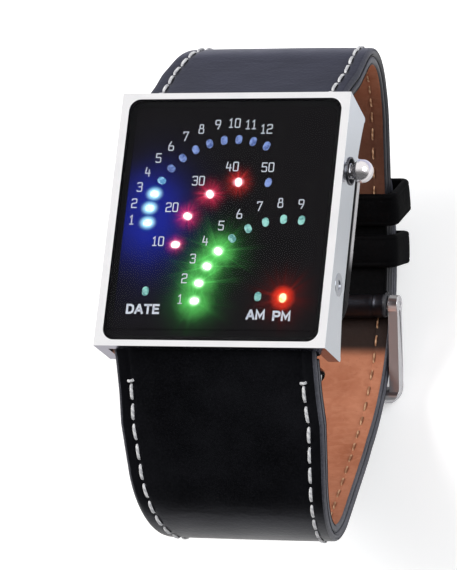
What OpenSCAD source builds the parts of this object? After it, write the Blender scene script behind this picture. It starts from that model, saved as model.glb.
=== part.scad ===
// Square steel wristwatch with a light-emitting display and a closed two-piece leather strap.
// All sizes are in millimetres. The dial faces up, twelve o'clock is towards +Y and the pushers are
// towards +X. The origin is the centre of the outer face of the case back. The strap is buckled, so
// it forms a loop below the case.

/* [Case] */
// Width of the case, from side to side
case_w = 38; // [36:0.5:42]
// Length of the case, from lug end to lug end
case_l = 42; // [40:0.5:46]
// Thickness of the case, from the case back to the bezel
case_t = 10.8; // [10.6:0.1:12]
// Width of the flat bezel at the sides of the window
bezel_w = 1.3; // [1.2:0.05:2]
// Width of the flat bezel at the twelve and six o'clock ends of the window
bezel_end_w = 1; // [0.9:0.05:2]
// Corner radius of the window
window_r = 1.9; // [1:0.1:3]
// Depth of the side walls in the middle, measured down from the bezel
side_d = 6.6; // [6.4:0.1:7]
// Depth of the lug tips, measured down from the bezel
lug_d = 8.4; // [8:0.1:9.5]
// Amount by which the lug tips at twelve o'clock lie inside the end of the bezel
lug_slant_12 = 1.3; // [0.4:0.1:1.4]
// Amount by which the lug tips at six o'clock lie inside the end of the bezel
lug_slant_6 = 0.2; // [0.1:0.1:1.2]
// Half length of the straight middle of the lower edge of a side wall
side_flat = 11; // [9:0.5:12]
// Thickness of the lug ears
ear_t = 1.85; // [1.6:0.05:2.2]
// Thickness of the walls between the inside of the case and the strap
end_wall = 1.5; // [1.2:0.1:1.8]
// Thickness of the side walls round the inside of the case
side_wall = 3.1; // [2.8:0.1:3.3]

/* [Window and dial] */
// Thickness of the mineral glass
glass_t = 1.0; // [0.8:0.05:1.2]
// Depth of the glass below the bezel
glass_drop = 0.1; // [0.05:0.05:0.2]
// Thickness of the printed dial plate and of the gasket round it
dial_t = 0.3; // [0.2:0.05:0.4]
// Thickness of the ledge that carries the dial plate
ledge_t = 0.5; // [0.4:0.05:0.6]
// Width of the gasket under the edge of the glass
glass_gasket_w = 0.9; // [0.6:0.1:1.2]
// Width of a light window
lens_w = 1.1; // [0.8:0.05:1.3]
// Length of a light window
lens_l = 1.5; // [1.2:0.05:1.8]
// Thickness of the light guide block under the dial
guide_t = 3.1; // [2.6:0.1:3.2]
// Wall between two neighbouring light wells in the guide
well_wall = 0.33; // [0.25:0.01:0.5]

/* [Light arcs] */
// Room between the hour arc's radius and half the inside of the case, measured on its shorter side
hour_gap = 2; // [1.8:0.1:3]
// Radius of the arc of five ten-minute lights, as a share of the radius of the hour arc
tens_share = 0.893; // [0.86:0.001:0.92]
// Radius of the arc of nine minute lights, as a share of the radius of the hour arc
minute_share = 1.069; // [1.04:0.001:1.1]

/* [Movement] */
// Thickness of the circuit board
board_t = 0.8; // [0.6:0.1:1]
// Height of a light chip
chip_h = 0.65; // [0.5:0.05:0.8]
// Diameter of the button cell
cell_d = 20; // [19:0.5:21]
// Thickness of the button cell
cell_t = 3.2; // [2.9:0.1:3.3]

/* [Case back] */
// Distance of the case back inside the sides of the case
back_inset = 0.2; // [0.1:0.05:0.5]
// Corner radius of the case back
back_r = 6; // [5:0.5:7]
// Thickness of the floor of the case back
back_floor = 0.7; // [0.6:0.05:0.8]
// Radius of the rounded lower edge of the case back
back_edge_r = 1.2; // [0.8:0.1:1.5]
// Thickness of the flat gasket between case and case back
back_gasket_t = 0.3; // [0.2:0.05:0.4]
// Diameter of the case back screws
screw_d = 1.2; // [1:0.1:1.4]
// Diameter of the screw heads
screw_head_d = 2.2; // [2:0.1:2.4]

/* [Pushers] */
// Distance of the ball pusher from the twelve o'clock end of the case
ball_inset = 11.9; // [11:0.1:12.5]
// Distance of the setting pusher from the six o'clock end of the case
set_inset = 11.4; // [11:0.1:12]
// Depth of both pusher axes below the bezel
pusher_d = 3.7; // [3.6:0.05:3.9]
// Diameter of the ball end
ball_d = 3.8; // [3.6:0.1:3.9]
// Travel of the ball pusher
ball_travel = 0.9; // [0.6:0.05:0.9]
// Diameter of the ball pusher stem
stem_d = 1.5; // [1.3:0.05:1.6]
// Diameter of the setting pusher
set_d = 1.5; // [1.3:0.05:1.7]
// Travel of the setting pusher
set_travel = 0.5; // [0.3:0.05:0.5]

/* [Strap] */
// Width of the strap at the case
strap_w = 34; // [33:0.1:34.1]
// Width of the strap at the buckle
strap_end_w = 24; // [22:0.5:26]
// Depth below the bezel at which the strap reaches its narrow width
taper_d = 52; // [48:0.5:54]
// Thickness of the outer leather
leather_t = 1.5; // [1.3:0.05:1.6]
// Thickness of the lining leather
lining_t = 1.3; // [1.1:0.05:1.4]
// Diameter of the adjusting holes
hole_d = 3.2; // [3.1:0.05:3.5]
// Distance between adjusting holes
hole_pitch = 7; // [6:0.5:8]
// Diameter of the spring bars
bar_d = 1.8; // [1.6:0.05:2]
// Distance from the spring bars to the ends of the case
bar_inset = 1.8; // [1.7:0.05:2]
// Depth of the spring bars below the bezel
bar_depth = 4.3; // [4.2:0.05:4.5]

/* [Strap loop] */
// Distance of the twelve o'clock bend from the middle of the case
bend_12_y = 20; // [18:0.5:22]
// Depth of the centre of the twelve o'clock bend below the bezel
bend_12_d = 26; // [25:0.5:28]
// Radius of the twelve o'clock bend
bend_12_r = 17.3; // [16.5:0.1:18]
// Distance of the six o'clock bend from the middle of the case
bend_6_y = 28.5; // [27:0.5:30]
// Depth of the centre of the six o'clock bend below the bezel
bend_6_d = 27.3; // [26:0.5:29]
// Radius of the six o'clock bend
bend_6_r = 15.7; // [15:0.1:17]
// Distance of the centre of the lower bend from the middle of the case
lower_y = 2; // [1:0.5:3]
// Depth of the lowest point of the twelve o'clock strap below the bezel
loop_d = 55; // [54:0.2:57]
// Radius of the lower bend of the twelve o'clock strap
lower_r = 36.2; // [35:0.2:38]

/* [Buckle and keepers] */
// Angle of the buckle bar behind the lowest point of the lower bend
buckle_a = 8; // [7:0.5:9]
// Length of the buckle, from its hinge bar to its front bar
buckle_l = 15; // [14:0.5:16]
// Thickness of the buckle arms
arm_t = 1.7; // [1.5:0.1:2]
// Diameter of the front bar of the buckle
front_bar_d = 2.8; // [2.4:0.1:3.2]
// Width of the buckle tongue
tongue_w = 1.6; // [1.4:0.05:1.7]
// Thickness of the buckle tongue
tongue_t = 1.2; // [1:0.05:1.3]
// Width of each keeper, measured along the strap
keeper_w = 5.5; // [5:0.1:6]
// Thickness of the keeper leather
keeper_t = 1.3; // [1.1:0.1:1.5]
// Length of the leather turned back inside the strap at the buckle
turn_back_l = 18.5; // [17.5:0.5:26]
// Thickness of the leather that is turned back
turn_back_t = 1.2; // [1:0.1:1.4]

/* [Hidden] */
$fn = 48;

// Clearances: a running fit, a loose piece, room round leather, and a cut that runs past a face
fit = 0.03;
loose = 0.1;
leather_gap = 0.15;
past = 1;

// Heights in the case, worked out from depths below the bezel
glass_top = case_t - glass_drop;
dial_top = glass_top - glass_t;
ledge_top = dial_top - dial_t;
ledge_low = ledge_top - ledge_t;
side_low = case_t - side_d;
back_top = side_low - back_gasket_t;
board_top = ledge_top - guide_t;
board_low = board_top - board_t;
axis_z = case_t - pusher_d;

// Plan sizes in the case
window_w = case_w - 2 * bezel_w;
window_l = case_l - 2 * bezel_end_w;
inside_w = case_w - 2 * side_wall;
loop_r = bar_d / 2 + 0.1 + lining_t;
bar_y = case_l / 2 - bar_inset;
end_face_y = bar_y - loop_r - 2 * leather_gap;
inside_l = 2 * (end_face_y - end_wall);
slot_w = case_w - 2 * ear_t;
wall_x = inside_w / 2;
side_x = case_w / 2;
back_w = case_w - 2 * back_inset;
back_l = 2 * end_face_y;
ball_y = case_l / 2 - ball_inset;
set_y = case_l / 2 - set_inset;
lower_d = loop_d - lower_r;

// Screw posts stand in the corners of the inside
post_d = 3.4;
post_x = inside_w / 2 - 1.6;
post_y = inside_l / 2 - 1.6;

// Each arc has its centre in units of the hour radius, its radius, the angles of its first and last
// light, and its number of lights. The pattern keeps its shape when the case changes.
hour_r = min(inside_w, inside_l) / 2 - hour_gap;
hour_arc = [hour_r * [0.023, 0.0344], hour_r, 183.4, 66.1, 12];
tens_arc = [hour_r * [0.3015, -0.3855], hour_r * tens_share, 174.6, 77.2, 5];
minute_arc = [hour_r * [0.8015, -1.0458], hour_r * minute_share, 178, 81.1, 9];
status_spots = [for (p = [[-0.9008, -0.8893], [0.5229, -0.9466], [0.8359, -0.9618]])
    [hour_r * p[0], hour_r * p[1], 0]];
hour_step_a = (hour_arc[2] - hour_arc[3]) / (hour_arc[4] - 1);
well_d = 2 * hour_r * sin(hour_step_a / 2) - well_wall;

// Points on a circle round c and on an arc of it
function on_circle(c, r, a) = [c[0] + r * cos(a), c[1] + r * sin(a)];
function arc_line(c, r, a0, a1, n) = [for (i = [0 : n]) on_circle(c, r, a0 + (a1 - a0) * i / n)];
function reversed(list) = [for (i = [len(list) - 1 : -1 : 0]) list[i]];
// Each light's X and Y and the turn of its window, whose long side lies along the arc's radius
function arc_spots(arc) = [
    for (i = [0 : arc[4] - 1])
        let (a = arc[2] + (arc[3] - arc[2]) * i / (arc[4] - 1), p = on_circle(arc[0], arc[1], a))
            [p[0], p[1], a - 90]
];
hour_spots = arc_spots(hour_arc);
tens_spots = arc_spots(tens_arc);
minute_spots = arc_spots(minute_arc);
all_spots = concat(hour_spots, tens_spots, minute_spots, status_spots);

// The strap loop lies in the YZ plane. Each bend is [y, z, radius of the outer surface].
strap_t = leather_t + lining_t;
layer_step = strap_t + leather_gap;
bar_z = case_t - bar_depth;
bar_12 = [bar_y, bar_z, loop_r];
bar_6 = [-bar_y, bar_z, loop_r];
bend_12 = [bend_12_y, case_t - bend_12_d, bend_12_r];
bend_6 = [-bend_6_y, case_t - bend_6_d, bend_6_r];
lower_12 = [-lower_y, case_t - lower_d, lower_r];
lower_6 = [-lower_y, case_t - lower_d, lower_r + layer_step];

// Angle of the outward normal on the straight stretch from bend a to bend b, going clockwise
function join_angle(a, b) =
    atan2(b[1] - a[1], b[0] - a[0]) + acos((a[2] - b[2]) / norm([b[0] - a[0], b[1] - a[1]]));
// The same direction as angle a, brought into the turn that ends at angle from
function clockwise(from, a) = from - ((from - a) % 360 + 360) % 360;

front_12_a = join_angle(bar_12, bend_12);
back_12_a = clockwise(front_12_a, join_angle(bend_12, lower_12));
buckle_bar_a = buckle_a - 90;
back_6_a = clockwise(back_12_a, join_angle(lower_6, bend_6));
front_6_a = clockwise(back_6_a, join_angle(bend_6, bar_6));

// Lines that lie a distance t inside the outer surface of each strap piece
arc_steps = 18;
function line_12(t) = concat(
    [on_circle(bar_12, loop_r - t, front_12_a)],
    arc_line(bend_12, bend_12[2] - t, front_12_a, back_12_a, arc_steps),
    arc_line(lower_12, lower_12[2] - t, back_12_a, buckle_bar_a, arc_steps / 2)
);
function line_6(t) = concat(
    [tail_point(0, -layer_step + t)],
    arc_line(lower_6, lower_6[2] - t, back_12_a, back_6_a, arc_steps),
    arc_line(bend_6, bend_6[2] - t, back_6_a, front_6_a, arc_steps),
    [on_circle(bar_6, loop_r - t, front_6_a)]
);
// A point on the straight stretch of the back, s from its upper end and t inside the surface
tail_along = [sin(back_12_a), -cos(back_12_a)];
tail_out = [cos(back_12_a), sin(back_12_a)];
function tail_point(s, t) = [bend_12[0], bend_12[1]] + tail_along * s + tail_out * (bend_12[2] - t);

// Buckle: the bar lies in the end loop of the strap, and the front bar lies over the tail
buckle_loop_r = bar_d / 2 + 0.1 + lining_t;
buckle_bar_r = lower_r - buckle_loop_r;
buckle_at = on_circle(lower_12, buckle_bar_r, buckle_bar_a);
front_bar_r = lower_r + layer_step + 2 * leather_gap + front_bar_d / 2;
front_bar_a = buckle_bar_a - buckle_l / front_bar_r * 180 / PI;
front_bar_at = on_circle(lower_12, front_bar_r, front_bar_a);
arm_in = strap_end_w / 2 + 0.35;
arm_out = arm_in + arm_t;

// Keepers: the fixed one is on the bend, the sliding one on the straight stretch
stack_low = strap_t + turn_back_t;
fixed_keeper_a = buckle_bar_a + 15.5;
fixed_keeper_at = on_circle(lower_12, lower_r, fixed_keeper_a);
sliding_keeper_s = 13.5;
// Room round the strap inside each keeper. There is more at the sides, because the strap is wider
// here than at its end, and most on the sliding keeper, which travels to a wider part of it.
fixed_room = 0.3;
fixed_side_room = 0.75;
slide_room = 0.35;
slide_side_room = 1.3;

// Draws the children, a shape in the YZ plane, along X
module across(length) {
    rotate([90, 0, 90]) linear_extrude(length, center = true) children();
}

// Moves the children to a point of the YZ plane, with +Z turned to the direction a
module stand_at(point, a) {
    translate([0, point[0], point[1]]) rotate([a - 90, 0, 0]) children();
}

// A rectangle with exact round corners
module round_rect(w, l, r) {
    square([w - 2 * r, l], center = true);
    square([w, l - 2 * r], center = true);
    for (x = [-1, 1], y = [-1, 1])
        translate([x * (w / 2 - r), y * (l / 2 - r)]) circle(r);
}

module round_plate(w, l, r, z0, z1) {
    translate([0, 0, z0]) linear_extrude(z1 - z0) round_rect(w, l, r);
}

// A box centred on X and Y between two heights
module slab(w, l, z0, z1) {
    translate([-w / 2, -l / 2, z0]) cube([w, l, z1 - z0]);
}

// A cylinder along X from x0 to x1 on a pusher axis
module rod(y, r, x0, x1) {
    translate([x0, y, axis_z]) rotate([0, 90, 0]) cylinder(r = r, h = x1 - x0);
}

// A ring along X on a pusher axis
module sleeve(y, r, bore, x0, x1) {
    difference() {
        rod(y, r, x0, x1);
        rod(y, bore, x0 - past, x1 + past);
    }
}

// A coil spring along X from x0 to x1, with a six-sided wire
module coil(y, z, r, wire, turns, x0, x1) {
    sides = 6;
    steps = 12 * turns;
    pitch = x1 - x0 - wire * 1.1;
    rings = [for (i = [0 : steps]) let (a = 360 * i / 12, x = x0 + wire * 0.55 + pitch * i / steps)
        for (k = [0 : sides - 1]) let (b = 360 * k / sides, rr = r + wire / 2 * cos(b))
            [x + wire / 2 * sin(b), y + rr * cos(a), z + rr * sin(a)]];
    skin = [for (i = [0 : steps - 1]) for (k = [0 : sides - 1]) let (m = (k + 1) % sides)
        each [
            [i * sides + k, i * sides + m, (i + 1) * sides + m],
            [i * sides + k, (i + 1) * sides + m, (i + 1) * sides + k]
        ]];
    first = [for (k = [sides - 1 : -1 : 0]) k];
    last = [for (k = [0 : sides - 1]) steps * sides + k];
    polyhedron(rings, concat(skin, [first, last]), convexity = 6);
}

// Case

// Lower edge of a side wall: straight in the middle, then falling to the lug tip at lug
function side_edge(y, lug) =
    side_low - (lug_d - side_d) * pow(max(0, abs(y) - side_flat) / (abs(lug) - side_flat), 1.5);
lug_12_y = case_l / 2 - lug_slant_12;
lug_6_y = lug_slant_6 - case_l / 2;
tip_r = 0.5;
side_steps = 14;

module side_profile() {
    function edge(lug, first) = [
        for (i = [first : side_steps])
            let (y = (lug - sign(lug) * tip_r) * i / side_steps) [y, side_edge(y, lug)]
    ];
    polygon(concat(reversed(edge(lug_6_y, 0)), edge(lug_12_y, 1), [
        [lug_12_y, side_edge(lug_12_y, lug_12_y) + tip_r],
        [case_l / 2, case_t],
        [-case_l / 2, case_t],
        [lug_6_y, side_edge(lug_6_y, lug_6_y) + tip_r]
    ]));
    for (lug = [lug_12_y, lug_6_y])
        translate([lug - sign(lug) * tip_r, side_edge(lug, lug) + tip_r]) circle(tip_r);
}

module case_body() {
    color("silver") difference() {
        union() {
            difference() {
                across(case_w) side_profile();
                // Window, seat of the dial and the inside, which is open at the back
                round_plate(window_w, window_l, window_r, ledge_top, case_t + past);
                slab(inside_w, inside_l, -past, case_t);
                // Space between the side walls below the case, and the strap slots at both ends
                slab(slot_w, case_l + 2, -case_t, side_low);
                for (s = [-1, 1])
                    translate([-slot_w / 2, s > 0 ? end_face_y : -end_face_y - case_l, -case_t])
                        cube([slot_w, case_l, ledge_low + case_t]);
            }
            for (x = [-1, 1], y = [-1, 1]) screw_post(x, y);
        }
        for (x = [-1, 1], y = [-1, 1])
            translate([x * post_x, y * post_y, side_low - past])
                cylinder(d = screw_d + 2 * fit, h = screw_depth + past);
        rod(ball_y, tube_out_r, tube_step_x, side_x + past);
        rod(ball_y, tube_in_r, wall_x - past, side_x);
        rod(-set_y, set_tube_r, wall_x - past, side_x + past);
        for (s = [-1, 1])
            translate([0, s * bar_y, bar_z]) rotate([0, 90, 0])
                cylinder(d = tip_d + 2 * loose, h = slot_w + 2 * tip_seat, center = true);
    }
}

// A post for a case back screw, joined to the corner of the inside
module screw_post(x, y) {
    reach = 1.9;
    translate([x * post_x, y * post_y, side_low])
        cylinder(d = post_d, h = ledge_low - side_low);
    translate([x > 0 ? post_x : -post_x - reach, y > 0 ? post_y - post_d / 2 : -post_y - reach, side_low])
        cube([reach, post_d / 2 + reach, ledge_low - side_low]);
    translate([x > 0 ? post_x - post_d / 2 : -post_x - reach, y > 0 ? post_y : -post_y - reach, side_low])
        cube([post_d / 2 + reach, reach, ledge_low - side_low]);
}

module crystal() {
    color([0.05, 0.05, 0.07]) round_plate(
        window_w - 2 * loose, window_l - 2 * loose, window_r - loose, dial_top, glass_top);
}

module crystal_gasket() {
    color("black") difference() {
        round_plate(window_w - 2 * loose, window_l - 2 * loose, window_r - loose, ledge_top, dial_top);
        translate([0, 0, -past]) round_plate(
            window_w - 2 * (loose + glass_gasket_w), window_l - 2 * (loose + glass_gasket_w),
            window_r - loose - glass_gasket_w / 2, ledge_top, dial_top + 2 * past);
    }
}

// Light windows and lights

// The outline of a light window, a slot with round ends
module lens_outline(gap) {
    w = lens_w + 2 * gap;
    l = lens_l + 2 * gap;
    square([w, l - w], center = true);
    for (s = [-1, 1]) translate([0, s * (l - w) / 2]) circle(d = w);
}

// The light windows' outlines as prisms with their lower ends at height z
module lens_prisms(spots, gap, z, height) {
    for (p = spots) translate([p[0], p[1], z]) rotate([0, 0, p[2]])
        linear_extrude(height) lens_outline(gap);
}

module lenses(spots) { lens_prisms(spots, 0, dial_top - lens_depth, lens_depth); }
lens_depth = dial_t + 0.6;

module chips(spots) {
    for (p = spots) translate([p[0] - chip_w / 2, p[1] - chip_l / 2, board_top])
        cube([chip_w, chip_l, chip_h]);
}
chip_w = 0.8;
chip_l = 1.5;

module dial_plate() {
    margin = loose + glass_gasket_w + loose / 2;
    color([0.02, 0.02, 0.03]) difference() {
        round_plate(window_w - 2 * margin, window_l - 2 * margin, window_r - margin / 2, ledge_top, dial_top);
        lens_prisms(all_spots, fit, ledge_top - past, dial_t + 2 * past);
    }
}

module hour_lenses() { color("deepskyblue") lenses(hour_spots); }
module tens_lenses() { color("red") lenses(tens_spots); }
module minute_lenses() { color("lime") lenses(minute_spots); }
module status_lenses() { color("orangered") lenses(status_spots); }
module hour_leds() { color("lightyellow") chips(hour_spots); }
module tens_leds() { color("lightyellow") chips(tens_spots); }
module minute_leds() { color("lightyellow") chips(minute_spots); }
module status_leds() { color("lightyellow") chips(status_spots); }

// Movement

// Notches for the pusher stems and their switches, open at the right edge
module switch_notches(z0, z1) {
    for (y = [ball_y, -set_y])
        translate([switch_x - 0.6, y - notch_w / 2, z0]) cube([case_w, notch_w, z1 - z0]);
}
notch_w = 3.4;
switch_gap = 2.7;
switch_x = wall_x - switch_gap;

// Room for the screw posts at the corners
module post_corners(z0, z1) {
    for (x = [-1, 1], y = [-1, 1])
        translate([x * post_x, y * post_y, z0]) {
            cylinder(d = post_d + 2 * loose, h = z1 - z0);
            translate([x > 0 ? 0 : -post_cut, y > 0 ? -post_d / 2 - loose : -post_cut, 0])
                cube([post_cut, post_d / 2 + loose + post_cut, z1 - z0]);
            translate([x > 0 ? -post_d / 2 - loose : -post_cut, y > 0 ? 0 : -post_cut, 0])
                cube([post_d / 2 + loose + post_cut, post_cut, z1 - z0]);
        }
}
post_cut = 1.5 * post_d;

module light_guide() {
    color([0.1, 0.1, 0.1]) difference() {
        slab(inside_w - 2 * loose, inside_l - 2 * loose, board_top, ledge_top);
        for (p = all_spots) translate([p[0], p[1], board_top - past])
            cylinder(d = well_d, h = guide_t - guide_skin + past);
        lens_prisms(all_spots, fit, board_top, guide_t + past);
        switch_notches(board_top - past, ledge_top + past);
        post_corners(board_top - past, ledge_top + past);
    }
}
guide_skin = 0.6;

module circuit_board() {
    notch_x = clip_x - ball_travel - 2 * loose;
    notch_r = clip_r + 2 * loose;
    color("darkgreen") difference() {
        slab(inside_w - 2 * loose, inside_l - 2 * loose, board_low, board_top);
        post_corners(board_low - past, board_top + past);
        // Room for the clip on the stem of the ball pusher
        translate([notch_x, ball_y - notch_r, board_low - past])
            cube([case_w, 2 * notch_r, board_t + 2 * past]);
    }
}

chip_size = [6, 6, 1.1];
module driver_chip() {
    color("dimgray") translate([-chip_size[0] / 2, 1, board_low - chip_size[2]]) cube(chip_size);
}

// The frame carries the cell behind the circuit board, with a pocket for the parts on the board
frame_w = cell_d + 8;
frame_l = cell_d + 2.6;
pocket_w = 0.8 * cell_d;
pocket_l = 0.85 * cell_d;

can_d = 1.2;
can_l = 4.7;
can_y = -pocket_l / 2 + 4.5;
module quartz_can() {
    color("silver") translate([pocket_w / 2 - can_l - can_d, can_y, board_low - can_d / 2])
        rotate([0, 90, 0]) cylinder(d = can_d, h = can_l);
}

// Four capacitors in a row near the end of the pocket
cap_size = [1.6, 0.8, 0.8];
cap_pitch = pocket_w * 0.2125;
module capacitors() {
    color("tan") for (i = [-1.5 : 1.5])
        translate([i * cap_pitch - cap_size[0], 1 - pocket_l / 2, board_low - cap_size[2]]) cube(cap_size);
}

clip_t = 0.15;
clip_w = 5;
clip_leg_x = cell_d / 2 + 1.6;
cell_low = back_floor + 2 * clip_t + fit;
cell_top = cell_low + cell_t;
module module_frame() {
    color("whitesmoke") difference() {
        slab(frame_w, frame_l, cell_low + 0.4, board_low);
        translate([0, 0, cell_low - past]) cylinder(d = cell_d + 2 * loose, h = cell_t + past);
        slab(pocket_w, pocket_l, cell_low, board_low + past);
        // Slots for the legs of the clip
        for (s = [-1, 1]) translate([s * clip_leg_x, 0, 0])
            slab(clip_t + 2 * loose, clip_w + 2 * loose, cell_low - past, board_low + past);
    }
}

module battery() {
    color("lightgray") {
        translate([0, 0, cell_low]) cylinder(d = cell_d, h = cell_t - 0.5);
        translate([0, 0, cell_top - 0.5]) cylinder(d = cell_d - 2.2, h = 0.5);
    }
}

module battery_clip() {
    color("goldenrod") {
        slab(2 * clip_leg_x + clip_t, clip_w, cell_low - clip_t, cell_low);
        for (s = [-1, 1]) translate([s * clip_leg_x, 0, 0])
            slab(clip_t, clip_w, cell_low - clip_t, board_low);
    }
}

// The negative contact lies on the cell and its foot is on the board
contact_w = 0.15 * cell_d;
contact_l = 0.3 * cell_d;
contact_y = 0.3 - pocket_l / 2;
module battery_contact() {
    color("gold") translate([-contact_w / 2, contact_y, cell_top]) {
        cube([contact_w, contact_l, clip_t]);
        cube([contact_w, clip_t, board_low - cell_top]);
    }
}

// A strip that keeps the clip away from the case back
module insulator() {
    color("orange") slab(cell_d, 0.4 * cell_d, cell_low - 2 * clip_t, cell_low - clip_t);
}

// Case back

module back_gasket() {
    color("black") difference() {
        round_plate(inside_w + 2.2, inside_l + 2.2, 1, back_top, side_low);
        round_plate(inside_w + 0.4, inside_l + 0.4, 0.5, back_top - past, side_low + past);
    }
}

// A plate from z = 0 upwards with round corners and a rounded lower edge
module pillow(w, l, r, h, e) {
    module edge_profile(span) {
        square_low = e;
        translate([-span / 2, square_low]) square([span, h - square_low]);
        translate([-span / 2 + e, 0]) square([span - 2 * e, h]);
        for (s = [-1, 1]) translate([s * (span / 2 - e), e]) circle(e);
    }
    translate([0, (l - 2 * r) / 2, 0]) rotate([90, 0, 0]) linear_extrude(l - 2 * r) edge_profile(w);
    translate([-(w - 2 * r) / 2, 0, 0]) rotate([90, 0, 90]) linear_extrude(w - 2 * r) edge_profile(l);
    for (x = [-1, 1], y = [-1, 1])
        translate([x * (w / 2 - r), y * (l / 2 - r), 0]) rotate_extrude() {
            translate([0, e]) square([r, h - e]);
            square([r - e, h]);
            intersection() {
                translate([r - e, e]) circle(e);
                square([r, h]);
            }
        }
}

neck_t = 0.9;
head_t = 0.8;
tray_l = frame_l + 0.8;
tray_w = frame_w + 1.6;
module case_back() {
    color("silver") difference() {
        union() {
            pillow(back_w, back_l, back_r, back_top - neck_t, back_edge_r);
            round_plate(slot_w - 3 * loose, back_l - 0.8, 2, back_top - neck_t - 0.1, back_top);
        }
        slab(tray_w, tray_l, back_floor, back_top + past);
        for (x = [-1, 1], y = [-1, 1]) translate([x * post_x, y * post_y, 0]) {
            translate([0, 0, -past]) cylinder(d = screw_head_d + 2 * fit, h = head_t + loose + past);
            translate([0, 0, -past]) cylinder(d = screw_d + 2 * loose, h = back_top + 2 * past);
        }
    }
}

screw_reach = 3.4;
screw_depth = screw_reach + 0.3;
slot_depth = 0.35;
module case_back_screws() {
    color("gray") for (x = [-1, 1], y = [-1, 1]) translate([x * post_x, y * post_y, loose])
        difference() {
            union() {
                cylinder(d = screw_head_d, h = head_t);
                cylinder(d = screw_d, h = side_low + screw_reach - loose);
            }
            translate([-screw_head_d, -0.15, -past]) cube([2 * screw_head_d, 0.3, past + slot_depth]);
        }
}

// Ball pusher, at the upper right of the case

tube_proud = 0.2;
tube_out_r = ball_d / 2 + 0.35;
tube_in_r = 1.4;
tube_step_x = side_x - 1.3;
cup_floor_x = side_x - 1.1;
cup_r = ball_d / 2 + 0.08;
seal_wire = 0.42;
seal_x = wall_x + 0.75;
head_x = side_x + 0.8;
ball_x = head_x + 1.0;

module pusher_tube() {
    color("silver") difference() {
        union() {
            rod(ball_y, tube_out_r, tube_step_x, side_x + tube_proud);
            rod(ball_y, tube_in_r, wall_x, tube_step_x + loose);
        }
        rod(ball_y, cup_r, cup_floor_x, side_x + past);
        rod(ball_y, stem_d / 2 + fit, wall_x - past, side_x);
        rod(ball_y, stem_d / 2 + seal_wire, seal_x - seal_wire / 2 - fit, seal_x + seal_wire / 2 + fit);
    }
}

module ball_pusher() {
    head_r = ball_d / 2;
    color("white") translate([0, ball_y, axis_z]) rotate([0, 90, 0]) rotate_extrude() {
        // The stem has a groove for its clip
        polygon([
            [0, stem_end_x], [stem_d / 2, stem_end_x], [stem_d / 2, clip_x],
            [groove_r, clip_x], [groove_r, clip_x + ring_t + fit], [stem_d / 2, clip_x + ring_t + fit],
            [stem_d / 2, head_x - 0.1], [head_r * 0.62, head_x - 0.1], [head_r * 0.72, head_x],
            [head_r, head_x + 0.6], [head_r, ball_x], [0, ball_x]
        ]);
        intersection() {
            translate([0, ball_x]) circle(head_r);
            translate([0, ball_x - 0.01]) square([head_r, head_r + 0.01]);
        }
    }
}
ring_t = 0.25;
clip_x = wall_x - ring_t - loose;
clip_r = stem_d / 2 + 0.45;
groove_r = stem_d / 2 - 0.2;
stem_end_x = switch_x + clip_t + ball_travel + 0.1;

module pusher_seal() {
    color("black") translate([seal_x, ball_y, axis_z]) rotate([0, 90, 0]) rotate_extrude()
        translate([stem_d / 2 + seal_wire / 2, 0]) circle(seal_wire / 2 - fit / 2, $fn = 24);
}

pusher_wire = 0.25;
module pusher_spring() {
    coil_r = stem_d / 2 + 0.3 + pusher_wire / 2;
    color("gray") coil(ball_y, axis_z, coil_r, pusher_wire, 3, cup_floor_x, head_x - 0.1);
}

// An open ring that holds the stem from inside the case
module pusher_clip() {
    color("gray") difference() {
        sleeve(ball_y, clip_r, groove_r + fit, clip_x + fit / 2, clip_x + ring_t);
        translate([clip_x - past, ball_y - groove_r * 0.8, axis_z - case_t])
            cube([3, groove_r * 1.6, case_t]);
    }
}

// A leaf switch that stands on the board in front of a stem
module leaf_switch(y) {
    color("goldenrod") {
        translate([switch_x, y - 1, board_top]) cube([clip_t, 2, axis_z - board_top + 0.6]);
        translate([switch_x - 0.5, y - 1, board_top]) cube([0.5 + clip_t, 2, clip_t]);
    }
}
module pusher_switch() { leaf_switch(ball_y); }
module set_switch() { leaf_switch(-set_y); }

// Setting pusher, at the lower right of the case, level with its collar

set_tube_r = 1.85;
set_lip_x = side_x - 0.6;
set_shoulder_r = set_d / 2 + 0.4;
set_shoulder_x = set_lip_x - 0.05;
set_shoulder_t = 0.3;
set_bore_r = set_shoulder_r + 0.08;
set_stem_r = 0.4;
retainer_t = 0.6;
set_wire = 0.2;

module set_tube() {
    color("silver") difference() {
        rod(-set_y, set_tube_r, wall_x, side_x + 0.05);
        rod(-set_y, set_d / 2 + fit, wall_x, side_x + past);
        rod(-set_y, set_bore_r, wall_x - past, set_lip_x);
    }
}

module set_button() {
    color("gray") {
        rod(-set_y, set_d / 2, set_shoulder_x - 0.1, side_x - 0.1);
        rod(-set_y, set_shoulder_r, set_shoulder_x - set_shoulder_t, set_shoulder_x);
        rod(-set_y, set_stem_r, switch_x + clip_t + set_travel + 0.1, set_shoulder_x - 0.1);
    }
}

module set_spring() {
    color("gray") coil(-set_y, axis_z, set_stem_r + 0.2 + set_wire / 2, set_wire, 3,
        wall_x + retainer_t, set_shoulder_x - set_shoulder_t);
}

module set_retainer() {
    color("silver") sleeve(-set_y, set_bore_r - fit / 2, set_stem_r + fit, wall_x, wall_x + retainer_t);
}

// Spring bars. The left tip is fixed, the right tip slides in the tube against a spring.

tip_d = 0.9;
tip_seat = 1.2;
tip_out = 1.0;
tip_rod_d = 0.9;
tip_collar_d = 1.3;
bar_bore_d = tip_collar_d + 2 * fit;
bar_half = slot_w / 2 - 0.2;
bar_spring_l = 4;
collar_x = bar_half - 2.2;

// Cylinder along X on a bar axis
module bar_rod(at, d, x0, x1) {
    translate([x0, at[0], at[1]]) rotate([0, 90, 0]) cylinder(d = d, h = x1 - x0);
}

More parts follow.
